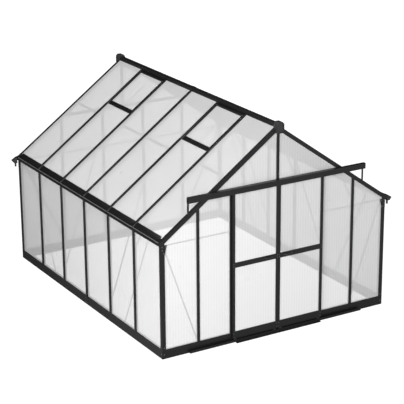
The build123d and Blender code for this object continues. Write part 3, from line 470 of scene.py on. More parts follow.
# ---------------------------------------------------------------- the house's lines
@dataclass
class House:
    """Sizes that the sub-assemblies share, and its walls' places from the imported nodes."""

    bays: int = 6
    bay: float = 0.620
    end_inset: float = 0.015
    eave_rise: float = 0.0466       # roof plane over the posts' heads, at the walls' outer faces
    pitch: float = 35.6
    post_width: float = 0.032
    corner_post: float = 0.046
    glass_depth: float = 0.0093     # a wall profile's face to the sheet's outer face
    roof_glass_depth: float = 0.0033
    eave_end: float = 0.012         # the roof sheets' overhang past the walls' faces
    eave_capping: float = 0.044
    rafter_up: float = -0.046       # a gable rafter's inner face
    rear_bay: float = 0.605
    door_post_x: float = 0.620
    gable_post_x: float = 1.055
    transom: tuple[float, float] = (1.832, 1.866)
    vent_bays: tuple[int, int] = (1, 4)
    front: float = field(init=False)
    rear: float = field(init=False)
    half: float = field(init=False)
    plinth: float = field(init=False)
    eave: float = field(init=False)
    ridge: float = field(init=False)
    run: float = field(init=False)      # distance along X per unit of slope
    fall: float = field(init=False)     # drop per unit of slope

    def __post_init__(self) -> None:
        """Read the walls' faces from the corner posts."""
        low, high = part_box("corner_posts")
        self.front, self.rear, self.half = low[1], high[1], high[0]
        self.plinth, self.eave = low[2], high[2]
        self.run, self.fall = cos(radians(self.pitch)), sin(radians(self.pitch))
        self.ridge = self.eave + self.eave_rise + self.half * self.fall / self.run

    def post_y(self, k: int) -> float:
        """Y of side post line k, where 0 is the front gable's."""
        return self.front + self.end_inset + k * self.bay

    def roof_z(self, x: float, up: float = 0.0) -> float:
        """Height at x of the plane that lies up outwards from the roof plane."""
        return self.ridge - (abs(x) * self.fall - up) / self.run

    def on_roof(self, side: int, s: float, y: float, up: float = 0.0) -> Vector:
        """Point on a slope.

        Args:
            side: -1 for the left slope, 1 for the right one.
            s: Distance down the slope from the ridge line.
            y: Place along the house.
            up: Distance outwards from the roof plane.

        Returns:
            The point.
        """
        across = s * self.run + up * self.fall
        return Vector((side * across, y, self.ridge - s * self.fall + up * self.run))

    def inner_posts(self) -> list[tuple[int, int, float]]:
        """Side, number and Y of every side post between the gables."""
        return [(side, k, self.post_y(k)) for side in SIDES for k in range(1, self.bays)]

    def gable(self, end: int) -> float:
        """Y of a gable's outer face: end is -1 for the front and 1 for the rear."""
        return self.front if end < 0 else self.rear


# ---------------------------------------------------------------- sub-assemblies
@dataclass
class Plinth:
    """Splices and screws of the steel plinth."""

    house: House
    splice_length: float = 0.090
    splice_thick: float = 0.0015
    screw_radius: float = 0.0055
    fold: float = 0.0004            # rounding of folded sheet

    def splices(self) -> None:
        """Joint plates over the middle of each side, with four screws each."""
        plates, screws = Shape(), Shape()
        h, middle, margin = self.house, (self.house.front + self.house.rear) / 2, 0.008
        for side in SIDES:
            face = side * h.half
            outer = face + side * self.splice_thick
            plates.slab(
                (face, middle - self.splice_length / 2, margin),
                (outer, middle + self.splice_length / 2, h.plinth - margin),
                self.fold,
            )
            for dy in (-0.028, 0.028):
                for z in (0.030, 0.078):
                    screws.screw((outer, middle + dy, z), (side, 0, 0), self.screw_radius)
        plates.piece("plinth_splice_plates", POWDER_COAT)
        screws.piece("plinth_splice_screws", ZINC_PLATE)

    def drip_edge(self) -> None:
        """Folded drip edge that laps over the top of the plinth, between the posts' feet."""
        shape, h = Shape(), self.house
        lip, reach, from_corner, from_post = 0.0012, 0.005, 0.060, 0.020
        low, high = h.plinth - reach, h.plinth + lip
        for side in SIDES:
            face = side * h.half
            ends = (h.front + from_corner, h.rear - from_corner)
            shape.slab((face, ends[0], low), (face + side * lip, ends[1], high), self.fold)
        outer, inner = h.half - from_corner, h.door_post_x + from_post
        for end, x0, x1 in ((-1, -outer, -inner), (-1, inner, outer), (1, -outer, outer)):
            y = h.gable(end)
            shape.slab((x0, y, low), (x1, y + end * lip, high), self.fold)
        shape.piece("plinth_drip_edge", POWDER_COAT)

    def build(self) -> None:
        """Build every piece of the plinth."""
        self.splices()
        self.drip_edge()


@dataclass
class WallSeals:
    """Rubber beads between the wall sheets and their profiles."""

    house: House
    leg: float = 0.0030
    gusset_drop: float = 0.112      # a corner gusset's foot below the eave
    apex_drop: float = 0.060        # end of the apex post's beads below the rafters

    def side_walls(self) -> None:
        """Beads round each sheet of the side walls."""
        shape, h = Shape(), self.house
        for side in SIDES:
            x = side * (h.half - h.glass_depth)
            out = (side * self.leg, 0, 0)
            for k in range(h.bays):
                low = h.front + h.corner_post if k == 0 else h.post_y(k) + h.post_width / 2
                high = h.rear - h.corner_post if k == h.bays - 1 else h.post_y(k + 1) - h.post_width / 2
                for y, sense in ((low, 1), (high, -1)):
                    shape.bead((x, y, h.plinth), (x, y, h.eave), out, (0, sense * self.leg, 0))
                for z, sense in ((h.plinth, 1), (h.eave, -1)):
                    shape.bead((x, low, z), (x, high, z), out, (0, 0, sense * self.leg))
        shape.piece("side_wall_seals", SEAL_RUBBER)

    def gable_walls(self) -> None:
        """Beads beside every upright of the gables and over their sills."""
        shape, h = Shape(), self.house
        corner, apex = h.half - h.corner_post, h.post_width / 2
        under_transom = (h.ridge + h.rafter_up / h.run - h.transom[0]) * h.run / h.fall
        for end in SIDES:
            y = h.gable(end) - end * h.glass_depth
            out = (0, end * self.leg, 0)
            lines = [h.door_post_x, h.gable_post_x] if end < 0 else [h.rear_bay / 2, h.rear_bay * 1.5]
            start = h.door_post_x + h.post_width / 2 if end < 0 else 0.0
            for side in SIDES:
                edges = [(x + sense * h.post_width / 2, sense) for x in lines for sense in SIDES]
                for x, sense in (*edges, (corner, -1)):
                    if end < 0 and x < h.door_post_x:
                        continue
                    top = h.transom[0] if x < under_transom else h.roof_z(x + self.leg, h.rafter_up) - 0.001
                    top = min(top, h.eave - self.gusset_drop) if x == corner else top
                    leg = (side * sense * self.leg, 0, 0)
                    shape.bead((side * x, y, h.plinth), (side * x, y, top), out, leg)
                shape.bead((side * start, y, h.plinth), (side * corner, y, h.plinth), out, (0, 0, self.leg))
                top = h.roof_z(apex + self.leg, h.rafter_up) - self.apex_drop
                shape.bead(
                    (side * apex, y, h.transom[1]), (side * apex, y, top), out, (side * self.leg, 0, 0)
                )
        shape.piece("gable_wall_seals", SEAL_RUBBER)

    def rafter_seals(self) -> None:
        """Beads under the gable rafters, along the raked edges of the gable sheets."""
        shape, h = Shape(), self.house
        spans = ((0.055, 0.800), (0.880, 1.470))    # clear of the apex post, the struts and the gussets
        for end in SIDES:
            y = h.gable(end) - end * h.glass_depth
            for side in SIDES:
                inwards = Vector((-side * h.fall, 0, -h.run)) * self.leg
                for span in spans:
                    start, finish = ((side * x, y, h.roof_z(x, h.rafter_up)) for x in span)
                    shape.bead(start, finish, (0, end * self.leg, 0), inwards)
        shape.piece("gable_rafter_seals", SEAL_RUBBER)

    def build(self) -> None:
        """Build every bead of the walls."""
        self.side_walls()
        self.gable_walls()
        self.rafter_seals()


@dataclass
class WallFixings:
    """Cover strips of the side posts, and screws of the posts, gussets and braces."""

    house: House
    head: float = 0.0055
    hexagon: float = 0.0065
    strip: float = 0.005            # a cover strip's height off its post
    strip_width: float = 0.042
    bar: float = 0.003              # a brace's thickness

    def cover_strips(self) -> None:
        """Strips over the side posts that hold the edges of the wall sheets."""
        shape, h = Shape(), self.house
        half, slant, short = self.strip_width / 2, 0.003, 0.002
        section = ((-half, SEAT), (half, SEAT), (half - slant, self.strip), (slant - half, self.strip))
        for side, _, y in h.inner_posts():
            outline = [(side * (h.half + out), y + across, h.plinth + short) for across, out in section]
            shape.prism(outline, (0, 0, h.eave - h.plinth - 2 * short), 0.0006)
        shape.piece("side_post_cover_strips", POWDER_COAT)

    def posts(self) -> None:
        """Pan-headed screws at the foot and head of each side post, and down the corner posts."""
        shape, h = Shape(), self.house
        foot, head = h.plinth + 0.022, h.eave - 0.022
        corner_foot, corner_head = h.plinth + 0.025, h.eave - 0.030
        for side, _, y in h.inner_posts():
            for z in (foot, head):
                shape.screw((side * (h.half + self.strip), y, z), (side, 0, 0), self.head)
        for side in SIDES:
            for end in SIDES:
                y = h.gable(end) - end * h.corner_post / 2
                for z in (corner_foot, corner_head):
                    shape.screw((side * h.half, y, z), (side, 0, 0), self.head)
                x = side * (h.half - h.corner_post / 2)
                shape.screw((x, h.gable(end), corner_foot), (0, end, 0), self.head)
            for x in (h.rear_bay / 2, h.rear_bay * 1.5):
                shape.screw((side * x, h.rear, foot), (0, 1, 0), self.head)
        shape.piece("post_screws", ZINC_PLATE)

    def gussets(self) -> None:
        """Hexagon screws through the corner gussets."""
        shape, h = Shape(), self.house
        low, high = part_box("corner_gussets")
        places = ((0.014, -0.015), (0.058, -0.015), (0.014, -0.052), (0.030, -0.090))
        for side in SIDES:
            for end in SIDES:
                y = high[1] if end > 0 else low[1]
                for inset, drop in places:
                    shape.screw((side * (h.half - inset), y, high[2] + drop), (0, end, 0), self.hexagon, 6)
        shape.piece("gusset_screws", ZINC_PLATE)

    def braces(self) -> None:
        """Screws through the ends of the knee braces."""
        shape, h = Shape(), self.house
        foot_inset, head_up, from_end = 0.029, -0.025, 0.018
        reaches = {1: (0.193, 0.220), 0: (1.028, 0.490)}
        for side, k, middle in h.inner_posts():
            y = middle - h.post_width / 2 - self.bar
            drop, inset = reaches[k % 2]
            foot = Vector((h.half - foot_inset, y, h.eave - drop))
            head = Vector((h.half - inset, y, h.roof_z(h.half - inset, head_up)))
            step = (head - foot).normalized() * from_end
            for place in (foot + step, head - step):
                shape.screw((side * place.x, y, place.z), (0, -1, 0), 0.005, 6)
        shape.piece("brace_screws", ZINC_PLATE)

    def build(self) -> None:
        """Build every strip and screw of the walls."""
        self.cover_strips()
        self.posts()
        self.gussets()
        self.braces()


@dataclass
class Roof:
    """Ridge caps, ridge splice, glazing seals, cover strips, eave hoods and their screws."""

    house: House
    leg: float = 0.0028
    strip: float = 0.008            # height of a cover strip over the roof plane
    strip_width: float = 0.043
    hood: float = 0.062             # a hood's upper and lower edges, in from the sheets' ends
    hood_end: float = 0.020
    hood_rise: float = 0.0045
    beam_half: float = 0.0303       # the ridge beam's side, with its clearance
    beam_rise: float = 0.0243
    beam_chamfer: float = 0.014
    cap_rise: float = 0.046
    cap_drop: float = 0.084
    cap_half: float = 0.046
    past_vent: float = 0.668        # just past the vents' sills, down the slope

    def __post_init__(self) -> None:
        """Work out the heights at the ridge."""
        self.cap_top, self.cap_low = self.house.ridge + self.cap_rise, self.house.ridge - self.cap_drop
        self.beam_top = self.house.ridge + self.beam_rise

    def hexagon(self, y: float, shrink: float) -> list[tuple[float, float, float]]:
        """Outline of the ridge cap, drawn in by shrink.

        Args:
            y: Place along the house.
            shrink: Distance that the outline is drawn in.

        Returns:
            Its corners.
        """
        half, shoulder = self.cap_half - shrink, self.cap_half / 2 - shrink / 2
        top, low = self.cap_top - shrink, self.cap_low + shrink
        right = [(shoulder, top), (half, top - shoulder), (half, low + shoulder), (shoulder, low)]
        return [(x, y, z) for x, z in mirrored(right)]

    def ridge_caps(self) -> None:
        """Moulded end caps with a raised rim, a sunk face and a fixing screw on each side."""
        shape, screws, h = Shape(), Shape(), self.house
        reach, wall, saddle = 0.050, 0.006, 0.033
        for end in SIDES:
            face = h.gable(end)
            tip = face + end * reach
            shape.prism(self.hexagon(face, 0.0), (0, end * (reach - wall), 0), 0.0018)
            rim_at = tip - end * wall
            outer, inner = self.hexagon(rim_at, 0.0), self.hexagon(rim_at, wall)
            for i, corner in enumerate(outer):
                after = (i + 1) % len(outer)
                quad = (corner, outer[after], inner[after], inner[i])
                shape.prism(quad, (0, end * wall, 0))
            beam, chamfer, shoulder = self.beam_half, self.beam_chamfer, self.cap_half / 2
            saddle_half = [
                (shoulder, self.cap_top),
                (self.cap_half, self.cap_top - shoulder),
                (self.cap_half, h.roof_z(self.cap_half) + 2 * SEAT),
                (beam, h.roof_z(beam) + 2 * SEAT),
                (beam, self.beam_top - chamfer),
                (beam - chamfer, self.beam_top),
            ]
            shape.prism([(x, face, z) for x, z in mirrored(saddle_half)], (0, -end * saddle, 0))
            for side in SIDES:
                place = (side * self.cap_half, face - end * saddle / 2, self.cap_top - 0.045)
                screws.screw(place, (side, 0, 0), 0.005)
        caps = shape.piece("ridge_end_mouldings", MOULDED_NYLON)
        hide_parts("ridge_caps")
        screws.piece("ridge_cap_screws", ZINC_PLATE)

    def ridge_splice(self) -> None:
        """Sleeve over the joint in the middle of the ridge beam."""
        shape, h = Shape(), self.house
        inner, rise, length = self.beam_half, 0.0022, 0.080
        outer, chamfer = inner + rise, self.beam_chamfer
        top, low = self.beam_top, h.ridge - 0.014
        section = mirrored(
            [
                (inner - chamfer, top),
                (inner, top - chamfer),
                (inner, low),
                (outer, low),
                (outer, top - chamfer + rise / 2),
                (outer - chamfer, top + rise),
            ]
        )
        y = (h.front + h.rear) / 2 - length / 2
        shape.prism([(x, y, z) for x, z in section], (0, length, 0))
        shape.piece("ridge_splice_sleeve", POWDER_COAT)

    def cap_seals(self) -> None:
        """Beads along both edges of each glazing cap."""
        shape, h = Shape(), self.house
        near, far = 0.045, (h.half + h.eave_end - h.eave_capping) / h.run - 0.001
        glass = -h.roof_glass_depth
        for side, k, middle in h.inner_posts():
            up = h.on_roof(side, 0, 0, self.leg) - h.on_roof(side, 0, 0)
            for sense in SIDES:
                beside_vent = side < 0 and (k - 1 if sense < 0 else k) in h.vent_bays
                start = self.past_vent if beside_vent else near
                y = middle + sense * h.post_width / 2
                top, foot = (h.on_roof(side, s, y, glass) for s in (start, far))
                shape.bead(top, foot, up, (0, sense * self.leg, 0))
        shape.piece("roof_glazing_seals", SEAL_RUBBER)

    def cover_strips(self) -> None:
        """Raised strips over the glazing caps, from the ridge beam to the eave."""
        shape, h = Shape(), self.house
        start, end, slant = 0.042, (h.half + h.eave_end) / h.run, 0.004
        for side, k, y in h.inner_posts():
            beside_vent = side < 0 and (k in h.vent_bays or k - 1 in h.vent_bays)
            widen = self.past_vent if beside_vent else start + 0.020
            for near, far, half in ((start, widen, h.post_width / 2), (widen, end, self.strip_width / 2)):
                top = half - slant
                section = ((-half, SEAT), (half, SEAT), (top, self.strip), (-top, self.strip))
                outline = [h.on_roof(side, near, y + across, up) for across, up in section]
                along = h.on_roof(side, far, y) - h.on_roof(side, near, y)
                shape.prism(outline, along, 0.0006)
        shape.piece("roof_cover_strips", POWDER_COAT)

    def eave_hoods(self) -> None:
        """Flat hoods over the eave cappings, from strip to strip."""
        shape, h = Shape(), self.house
        near, far = ((h.half + h.eave_end - inset) / h.run for inset in (self.hood, self.hood_end))
        section = ((near, SEAT), (far, SEAT), (far, self.hood_rise), (near, self.hood_rise))
        beside_strip = self.strip_width / 2 + 0.0005
        for side in SIDES:
            for k in range(h.bays):
                low = h.post_y(k) + (h.corner_post if k == 0 else beside_strip)
                high = h.post_y(k + 1) - (h.corner_post if k == h.bays - 1 else beside_strip)
                outline = [h.on_roof(side, s, low, up) for s, up in section]
                shape.prism(outline, (0, high - low, 0), 0.0006)
        shape.piece("eave_hoods", POWDER_COAT)

    def cap_screws(self) -> None:
        """Row of screws down the middle of each cover strip."""
        shape, h = Shape(), self.house
        first, pitch, number = 0.120, 0.400, 5
        for side, _, y in h.inner_posts():
            out = h.on_roof(side, 0, 0, 1.0) - h.on_roof(side, 0, 0)
            for step in range(number):
                shape.screw(h.on_roof(side, first + step * pitch, y, self.strip), out, 0.005)
        shape.piece("roof_cap_screws", ZINC_PLATE)

    def build(self) -> None:
        """Build every piece of the roof."""
        self.ridge_caps()
        self.ridge_splice()
        self.cap_seals()
        self.cover_strips()
        self.eave_hoods()
        self.cap_screws()


@dataclass
class Gutters:
    """Clips across the gutters and their moulded outlets."""

    house: House
    lip_x: float = 1.566
    lip_top: float = 1.396
    floor_z: float = 1.366
    spigot_x: float = 1.582
    spigot_r: float = 0.013
    bore_r: float = 0.0105

    def clips(self) -> None:
        """Folded clips over the lip, one at each post."""
        shape, h = Shape(), self.house
        thick, grip, floor = 0.0015, 0.006, self.floor_z
        for side, _, y in h.inner_posts():
            for x0, x1, z0, z1 in (
                (self.lip_x, self.lip_x + thick, floor - thick, self.lip_top + thick),
                (self.lip_x - grip, self.lip_x, self.lip_top, self.lip_top + thick),
                (h.half + 0.001, self.lip_x, floor - thick, floor),
            ):
                shape.slab((side * x0, y - 0.010, z0), (side * x1, y + 0.010, z1), 0.0003)
        shape.piece("gutter_clips", POWDER_COAT)

    def outlets(self) -> None:
        """Moulded hoppers with a collar, a hose spigot and two barbs."""
        shape, h = Shape(), self.house
        low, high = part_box("gutter_outlets")
        base, length = 1.324, 0.060
        for side, end in ((1, -1), (-1, 1)):
            y0 = low[1] if end < 0 else high[1] - length
            tip = high[0]
            outline = [
                (self.lip_x, self.lip_top),
                (self.lip_x + 0.006, self.lip_top),
                (tip, self.lip_top - 0.034),
                (tip, self.lip_top - 0.040),
                (tip - 0.024, base),
                (self.lip_x, base),
            ]
            shape.prism([(side * x, y0, z) for x, z in outline], (0, length, 0), 0.0020)
            foot = (side * self.spigot_x, y0 + length / 2, base)
            r, bore = self.spigot_r, self.bore_r
            section = (
                (-0.0005, bore),
                (-0.0005, r + 0.003),
                (0.004, r + 0.003),
                (0.006, r - 0.001),
                (0.018, r - 0.001),
                (0.022, r),
                (0.024, r - 0.001),
                (0.034, r - 0.001),
                (0.038, r),
                (0.040, r - 0.001),
                (0.048, r - 0.002),
                (0.048, bore),
            )
            shape.turned(foot, (0, 0, -1), section, 32, solid=False)
        piece = shape.piece("gutter_outlet_mouldings", MOULDED_NYLON)
        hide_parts("gutter_outlets")

    def build(self) -> None:
        """Build every piece of the gutters."""
        self.clips()
        self.outlets()


@dataclass
class DoorTrack:
    """Tread ribs of the threshold and screws of the header."""

    house: House
    tread_ribs: int = 5

    def tread(self) -> None:
        """Raised ribs along the threshold's slope."""
        shape = Shape()
        low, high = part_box("threshold_ramp")
        top_back = Vector((0, high[1] - 0.005, high[2]))
        toe = Vector((0, low[1], 0.003))
        slope = toe - top_back
        out = Vector((0, slope.z, -slope.y)).normalized()
        out = -out if out.z < 0 else out
        for i in range(self.tread_ribs):
            start = top_back + slope * (0.10 + 0.18 * i)
            end = start + slope.normalized() * 0.0022
            height = out * 0.0009
            outline = (start - out * 0.0002, end - out * 0.0002, end + height * 0.8, start + height)
            shape.prism([(low[0] + 0.012, p.y, p.z) for p in outline], (high[0] - low[0] - 0.024, 0, 0))
        shape.piece("threshold_tread", POWDER_COAT)

    def header_screws(self) -> None:
        """Screws along the top of the header and through its end struts."""
        shape = Shape()
        low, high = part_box("header_rail")
        for i in range(8):
            x = low[0] + 0.060 + i * (high[0] - low[0] - 0.120) / 7
            shape.screw((x, high[1] - 0.012, high[2]), (0, 0, 1), 0.0045)
        for side in SIDES:
            for z in (1.675, 1.780):
                shape.screw((side * 1.1887, high[1] - 0.0025, z), (0, -1, 0), 0.004)
        shape.piece("header_screws", ZINC_PLATE)

    def build(self) -> None:
        """Build every piece of the track."""
        self.tread()
        self.header_screws()


@dataclass
class DoorLeaf:
    """One sliding leaf: seals, screws, pull, rollers and guide shoes."""

    house: House
    side: int
    edge: float = 0.001
    width: float = 0.616
    outer_stile: float = 0.032
    inner_stile: float = 0.026
    sheet_depth: float = 0.017      # the wall's outer face to the front of the leaf's sheet
    bead: float = 0.0045
    grip_radius: float = 0.0055
    foot_radius: float = 0.0100

    def __post_init__(self) -> None:
        """Work out the leaf's names and faces."""
        self.hand = "left" if self.side < 0 else "right"
        self.body = f"door_{self.hand}"
        low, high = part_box(f"door_{self.hand}_frame")
        self.face, self.back, self.foot, self.head = low[1], high[1], low[2], high[2]
        self.rails = ((self.foot, self.foot + 0.083), (0.9175, 0.9725), (self.head - 0.028, self.head))

    def seals(self) -> None:
        """Beads round both sheets, the meeting seal and the brush on the back."""
        shape, s = Shape(), self.side
        x0, x1 = self.edge + self.inner_stile, self.edge + self.width - self.outer_stile
        y = self.house.front - self.sheet_depth
        out = (0, -self.bead, 0)
        low, middle, top = self.rails
        for below, above in ((low, middle), (middle, top)):
            for x, sense in ((x0, 1), (x1, -1)):
                shape.bead((s * x, y, below[1]), (s * x, y, above[0]), out, (s * sense * self.bead, 0, 0))
            for z, sense in ((below[1], 1), (above[0], -1)):
                shape.bead((s * x0, y, z), (s * x1, y, z), out, (0, 0, sense * self.bead))
        xs = sorted((s * 0.0003, s * self.edge))
        inset = 0.004
        low, high = (self.face + inset, self.foot + inset), (self.back - inset, self.head - inset)
        shape.slab((xs[0], *low), (xs[1], *high))
        shape.piece(f"door_{self.hand}_seals", SEAL_RUBBER, self.body)
        brush = Shape()
        xs = sorted((s * 0.588, s * 0.594))
        brush.slab((xs[0], self.back, self.foot + 0.005), (xs[1], self.back + 0.0012, 1.795))
        brush.piece(f"door_{self.hand}_brush_seal", PILE, self.body)

    def screws(self) -> None:
        """Two screws at each joint of a rail and a stile."""
        shape = Shape()
        middles = (self.edge + self.inner_stile / 2, self.edge + self.width - self.outer_stile / 2)
        for x in middles:
            for low, high in self.rails:
                gap = min(0.022, (high - low) / 4)
                for sense in SIDES:
                    z = (low + high) / 2 + sense * gap
                    if z < 1.799:
                        shape.screw((self.side * x, self.face, z), (0, -1, 0), 0.0038)
        shape.piece(f"door_{self.hand}_joint_screws", ZINC_PLATE, self.body)

    def pull(self) -> None:
        """Moulded bow pull with flared feet."""
        shape = Shape()
        low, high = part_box(f"door_{self.hand}_handle")
        r = self.grip_radius
        z = (low[2] + high[2]) / 2
        left, right = low[0] + self.foot_radius, high[0] - self.foot_radius
        out = low[1] + r
        bend = 0.014
        line, size = [], []
        for x, sense in ((left, 1), (right, -1)):
            run = [Vector((x, self.face + 0.0002 - step, z)) for step in (0.0, 0.003, 0.006, 0.012)]
            spread = [self.foot_radius * share for share in (1.0, 0.98, 0.72, 0.56)]
            arc = [
                Vector((x + sense * bend * (1 - cos(a)), out + bend * (1 - sin(a)), z))
                for a in (i * pi / 12 for i in range(7))
            ]
            part, sizes = run + arc, spread + [r] * len(arc)
            if sense < 0:
                part, sizes = part[::-1], sizes[::-1]
            line += part
            size += sizes
        shape.tube(line, size, (0, 0, 1))
        piece = shape.piece(f"door_{self.hand}_pull", MOULDED_NYLON, self.body)
        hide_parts(f"door_{self.hand}_handle")

    def rollers(self) -> None:
        """Grooved wheels with a raised hub, each on its own body."""
        for place in ("inner", "outer"):
            node = f"door_{self.hand}_roller_{place}"
            low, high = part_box(node)
            centre = (low + high) / 2 if isinstance(low, Vector) else [(a + b) / 2 for a, b in zip(low, high)]
            radius, width = (high[2] - low[2]) / 2, high[1] - low[1]
            bore, rim = 0.00305, radius
            section = (
                (0.0, bore),
                (0.0, 0.0055),
                (0.0010, 0.0058),
                (0.0010, 0.0085),
                (0.0, 0.0090),
                (0.0004, rim - 0.0006),
                (0.0012, rim),
                (width - 0.0012, rim),
                (width - 0.0004, rim - 0.0006),
                (width, 0.0090),
                (width - 0.0010, 0.0085),
                (width - 0.0010, 0.0058),
                (width, 0.0055),
                (width, bore),
            )
            shape = Shape()
            shape.turned((centre[0], high[1], centre[2]), (0, -1, 0), section, 40, solid=False)
            name = f"roller_{self.hand}_{place}"
            piece = shape.piece(f"{name}_wheel", TURNED_ACETAL, name)
            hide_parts(node)

    def shoes(self) -> None:
        """Moulded guide shoes with rounded ends and a moisture slot."""
        shape = Shape()
        low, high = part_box(f"door_{self.hand}_guide_shoes")
        length = 0.040
        for x0 in (low[0], high[0] - length):
            shape.slab((x0, low[1], low[2]), (x0 + length, high[1], low[2] + 0.022), 0.0020)
            corner = (x0 + 0.004, low[1] + 0.009, low[2] + 0.021)
            shape.slab(corner, (x0 + length - 0.004, high[1] - 0.001, high[2]), 0.001)
        piece = shape.piece(f"door_{self.hand}_shoe_mouldings", MOULDED_NYLON, self.body)
        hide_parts(f"door_{self.hand}_guide_shoes")

    def build(self) -> None:
        """Build every piece of the leaf."""
        self.seals()
        self.screws()
        self.pull()
        self.rollers()
        self.shoes()


@dataclass
class RoofVent:
    """One roof vent: seals, screws and lift pull."""

    house: House
    place: str
    bay: int
    start: float = 0.058
    end: float = 0.632
    width: float = 0.572
    rail: float = 0.022             # top and bottom rails
    stile: float = 0.013            # side rails
    top: float = 0.004
    bottom: float = -0.014
    leg: float = 0.0040

    def __post_init__(self) -> None:
        """Work out the vent's body and its middle."""
        self.body = f"vent_{self.place}"
        self.middle = self.house.post_y(self.bay) + self.house.bay / 2

    def at(self, s: float, across: float, up: float) -> Vector:
        """Point of the vent: s down the slope, across from its middle along Y, and up."""
        return self.house.on_roof(-1, s, self.middle + across, up)

    def seals(self) -> None:
        """Beads round the vent's sheet."""
        shape = Shape()
        half = self.width / 2 - self.stile
        near, far = self.start + self.rail, self.end - self.rail
        glass = -self.house.roof_glass_depth
        up = self.at(0, 0, self.leg) - self.at(0, 0, 0)
        down = self.at(self.leg, 0, 0) - self.at(0, 0, 0)
        for across, sense in ((-half, 1), (half, -1)):
            top, foot = self.at(near, across, glass), self.at(far, across, glass)
            shape.bead(top, foot, up, (0, sense * self.leg, 0))
        for s, leg in ((near, down), (far, -down)):
            shape.bead(self.at(s, -half, glass), self.at(s, half, glass), up, leg)
        shape.piece(f"vent_{self.place}_seals", SEAL_RUBBER, self.body)

    def fittings(self) -> None:
        """Corner screws on top and a lift pull under the bottom rail."""
        shape = Shape()
        out = self.at(0, 0, 1) - self.at(0, 0, 0)
        for s in (self.start + self.rail / 2 + 0.004, self.end - self.rail / 2):
            for sense in SIDES:
                shape.screw(self.at(s, sense * (self.width / 2 - self.stile / 2), self.top), out, 0.004)
        shape.piece(f"vent_{self.place}_corner_screws", ZINC_PLATE, self.body)
        pull = Shape()
        s0, s1 = self.end - self.rail + 0.003, self.end - 0.003
        across0, across1 = -0.150, -0.090
        outline = [
            self.at(s0, across0, self.bottom),
            self.at(s1, across0, self.bottom),
            self.at(s1 - 0.003, across0, self.bottom - 0.009),
            self.at(s0 + 0.003, across0, self.bottom - 0.009),
        ]
        pull.prism(outline, (0, across1 - across0, 0), 0.0012)
        pull.piece(f"vent_{self.place}_lift_pull", MOULDED_NYLON, self.body)

    def build(self) -> None:
        """Build every piece of the vent."""
        self.seals()
        self.fittings()


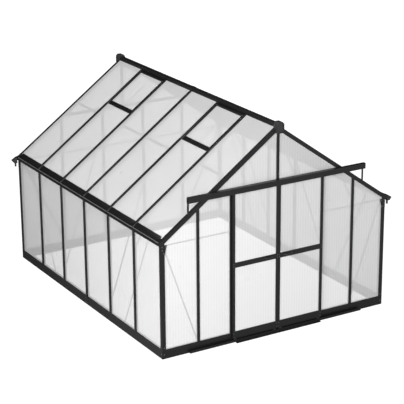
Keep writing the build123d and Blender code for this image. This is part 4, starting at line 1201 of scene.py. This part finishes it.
# ---------------------------------------------------------------- studio
@dataclass
class Studio:
    """Camera, floor and soft light."""

    eye: tuple[float, float, float] = (-9.185, -15.632, 7.321)
    azimuth: float = -30.731
    elevation: float = 19.10
    roll: float = -0.402
    lens: float = 137.14
    floor_size: float = 120.0
    bounce: tuple[float, float] = (0.45, 0.04)  # what the floor throws back, in front and behind

    def camera(self) -> None:
        """Stand the camera at its viewing angle."""
        a, e, r = (radians(v) for v in (self.azimuth, self.elevation, self.roll))
        back = Vector((sin(a) * cos(e), -cos(a) * cos(e), sin(e)))
        right = (-back).cross(Vector((0, 0, 1))).normalized()
        up = right.cross(-back)
        level, tall = right * cos(r) + up * sin(r), up * cos(r) - right * sin(r)
        data = bpy.data.cameras.new("studio_camera")
        data.lens, data.sensor_width, data.clip_end = self.lens, 36.0, 200.0
        camera = bpy.data.objects.new("studio_camera", data)
        turn = Matrix((level, tall, back)).transposed().to_4x4()
        camera.matrix_world = Matrix.Translation(self.eye) @ turn
        bpy.context.scene.collection.objects.link(camera)
        bpy.context.scene.camera = camera

    def floor(self) -> None:
        """Lay a white floor whose horizon is lost and which throws back most light in front."""
        shape = bmesh.new()
        bmesh.ops.create_grid(shape, x_segments=1, y_segments=1, size=self.floor_size / 2)
        data = bpy.data.meshes.new("studio_floor")
        shape.to_mesh(data)
        shape.free()
        material = bpy.data.materials.new("white_studio_floor")
        material.use_nodes = True
        shader = material.node_tree.nodes["Principled BSDF"]
        shader.inputs["Base Color"].default_value = linear("#4a4a4a")
        shader.inputs["Roughness"].default_value = 0.9
        shader.inputs["Emission Color"].default_value = linear("#ffffff")
        tree = material.node_tree
        place = add_node(tree, "ShaderNodeTexCoord", {}).outputs["Object"]
        along = add_node(tree, "ShaderNodeSeparateXYZ", {0: place}).outputs["Y"]
        front, rear = self.bounce
        bounce = add_node(
            tree,
            "ShaderNodeMapRange",
            {"Value": along, "From Min": -5.0, "From Max": 2.5, "To Min": front, "To Max": rear},
        )
        seen = add_node(tree, "ShaderNodeLightPath", {}).outputs["Is Camera Ray"]
        glow = add_node(
            tree, "ShaderNodeMapRange", {"Value": seen, "To Min": bounce.outputs["Result"], "To Max": 1.05}
        )
        tree.links.new(glow.outputs["Result"], shader.inputs["Emission Strength"])
        data.materials.append(material)
        floor = bpy.data.objects.new("studio_floor", data)
        floor.location.z = -0.001
        bpy.context.scene.collection.objects.link(floor)

    def world(self) -> None:
        """Wrap the scene in soft white light, bright in front, dim behind and overhead."""
        world = bpy.data.worlds.new("studio_world")
        bpy.context.scene.world = world
        world.use_nodes = True
        tree = world.node_tree
        tree.nodes.clear()
        direction = add_node(tree, "ShaderNodeTexCoord", {}).outputs["Generated"]
        side = add_node(
            tree, "ShaderNodeVectorMath", {0: direction, 1: (-0.55, -0.82, -0.10)}, operation="DOT_PRODUCT"
        )
        strength = add_node(
            tree,
            "ShaderNodeMapRange",
            {"Value": side.outputs["Value"], "From Min": -0.2, "From Max": 0.9, "To Min": 0.02, "To Max": 0.95},
        )
        light = add_node(
            tree, "ShaderNodeBackground", {"Color": linear("#ffffff"), "Strength": strength.outputs["Result"]}
        )
        seen = add_node(tree, "ShaderNodeBackground", {"Color": linear("#ffffff"), "Strength": 1.1})
        ray = add_node(tree, "ShaderNodeLightPath", {}).outputs["Is Camera Ray"]
        mix = add_node(tree, "ShaderNodeMixShader", {0: ray, 1: light.outputs[0], 2: seen.outputs[0]})
        add_node(tree, "ShaderNodeOutputWorld", {"Surface": mix.outputs[0]})

    def softbox(self, name: str, at: Point, size: float, power: float, mirrored: bool = True) -> None:
        """Hang one large soft light aimed at the middle of the house.

        Args:
            name: The light's name.
            at: Where it hangs.
            size: Side of its square face.
            power: Its power in watts.
            mirrored: Whether gloss shows it.
        """
        data = bpy.data.lights.new(name, "AREA")
        data.size, data.energy = size, power
        light = bpy.data.objects.new(name, data)
        aim = Vector((0, 0, 1.0)) - Vector(at)
        light.matrix_world = Matrix.Translation(at) @ aim.to_track_quat("-Z", "Y").to_matrix().to_4x4()
        light.visible_glossy = mirrored
        bpy.context.scene.collection.objects.link(light)

    def build(self) -> None:
        """Set the studio up."""
        self.camera()
        self.floor()
        self.world()
        self.softbox("front_softbox", (-3.0, -9.0, 4.0), 5.0, 195.0)
        self.softbox("corner_softbox", (-9.5, -7.0, 4.0), 5.0, 850.0)
        self.softbox("overhead_softbox", (-2.5, 0.5, 8.5), 5.0, 222.0)
        self.softbox("rear_fill", (7.0, 9.0, 4.5), 5.0, 800.0, mirrored=False)
        scene = bpy.context.scene
        scene.view_settings.view_transform = "Standard"
        scene.cycles.transparent_max_bounces = 48


def dress_nodes(frame: dict) -> None:
    """Give every carried CAD node its finish, from its record slot.

    Args:
        frame: The loaded frame.
    """
    slots = {part["node"]: Slot(part["material_slot"]) for part in frame["record"]["subparts"]}
    for name, node in frame["nodes"].items():
        finish = SLOT_FINISH[slots[name]]
        if finish is SHEET_ACROSS_Y and ("gable" in name or "door" in name):
            finish = SHEET_ACROSS_X
        node.data.materials.clear()
        node.data.materials.append(finish.material())
        log.info("%s: dressed in %s", name, finish.name)


def main(frame: dict) -> None:
    """Build the studio and every sub-assembly in order.

    Args:
        frame: The loaded frame.
    """
    Studio().build()
    dress_nodes(frame)
    house = House()
    kinds = (Plinth, WallSeals, WallFixings, Roof, Gutters, DoorTrack)
    parts = [kind(house) for kind in kinds]
    parts += [DoorLeaf(house, side) for side in SIDES]
    parts += [RoofVent(house, place, bay) for place, bay in zip(("front", "rear"), house.vent_bays)]
    for part in parts:
        log.info("building %s", type(part).__name__)
        part.build()


if __name__ == "__main__":
    logging.basicConfig(level=logging.INFO, format="%(name)s: %(message)s")
    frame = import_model()
    main(frame)
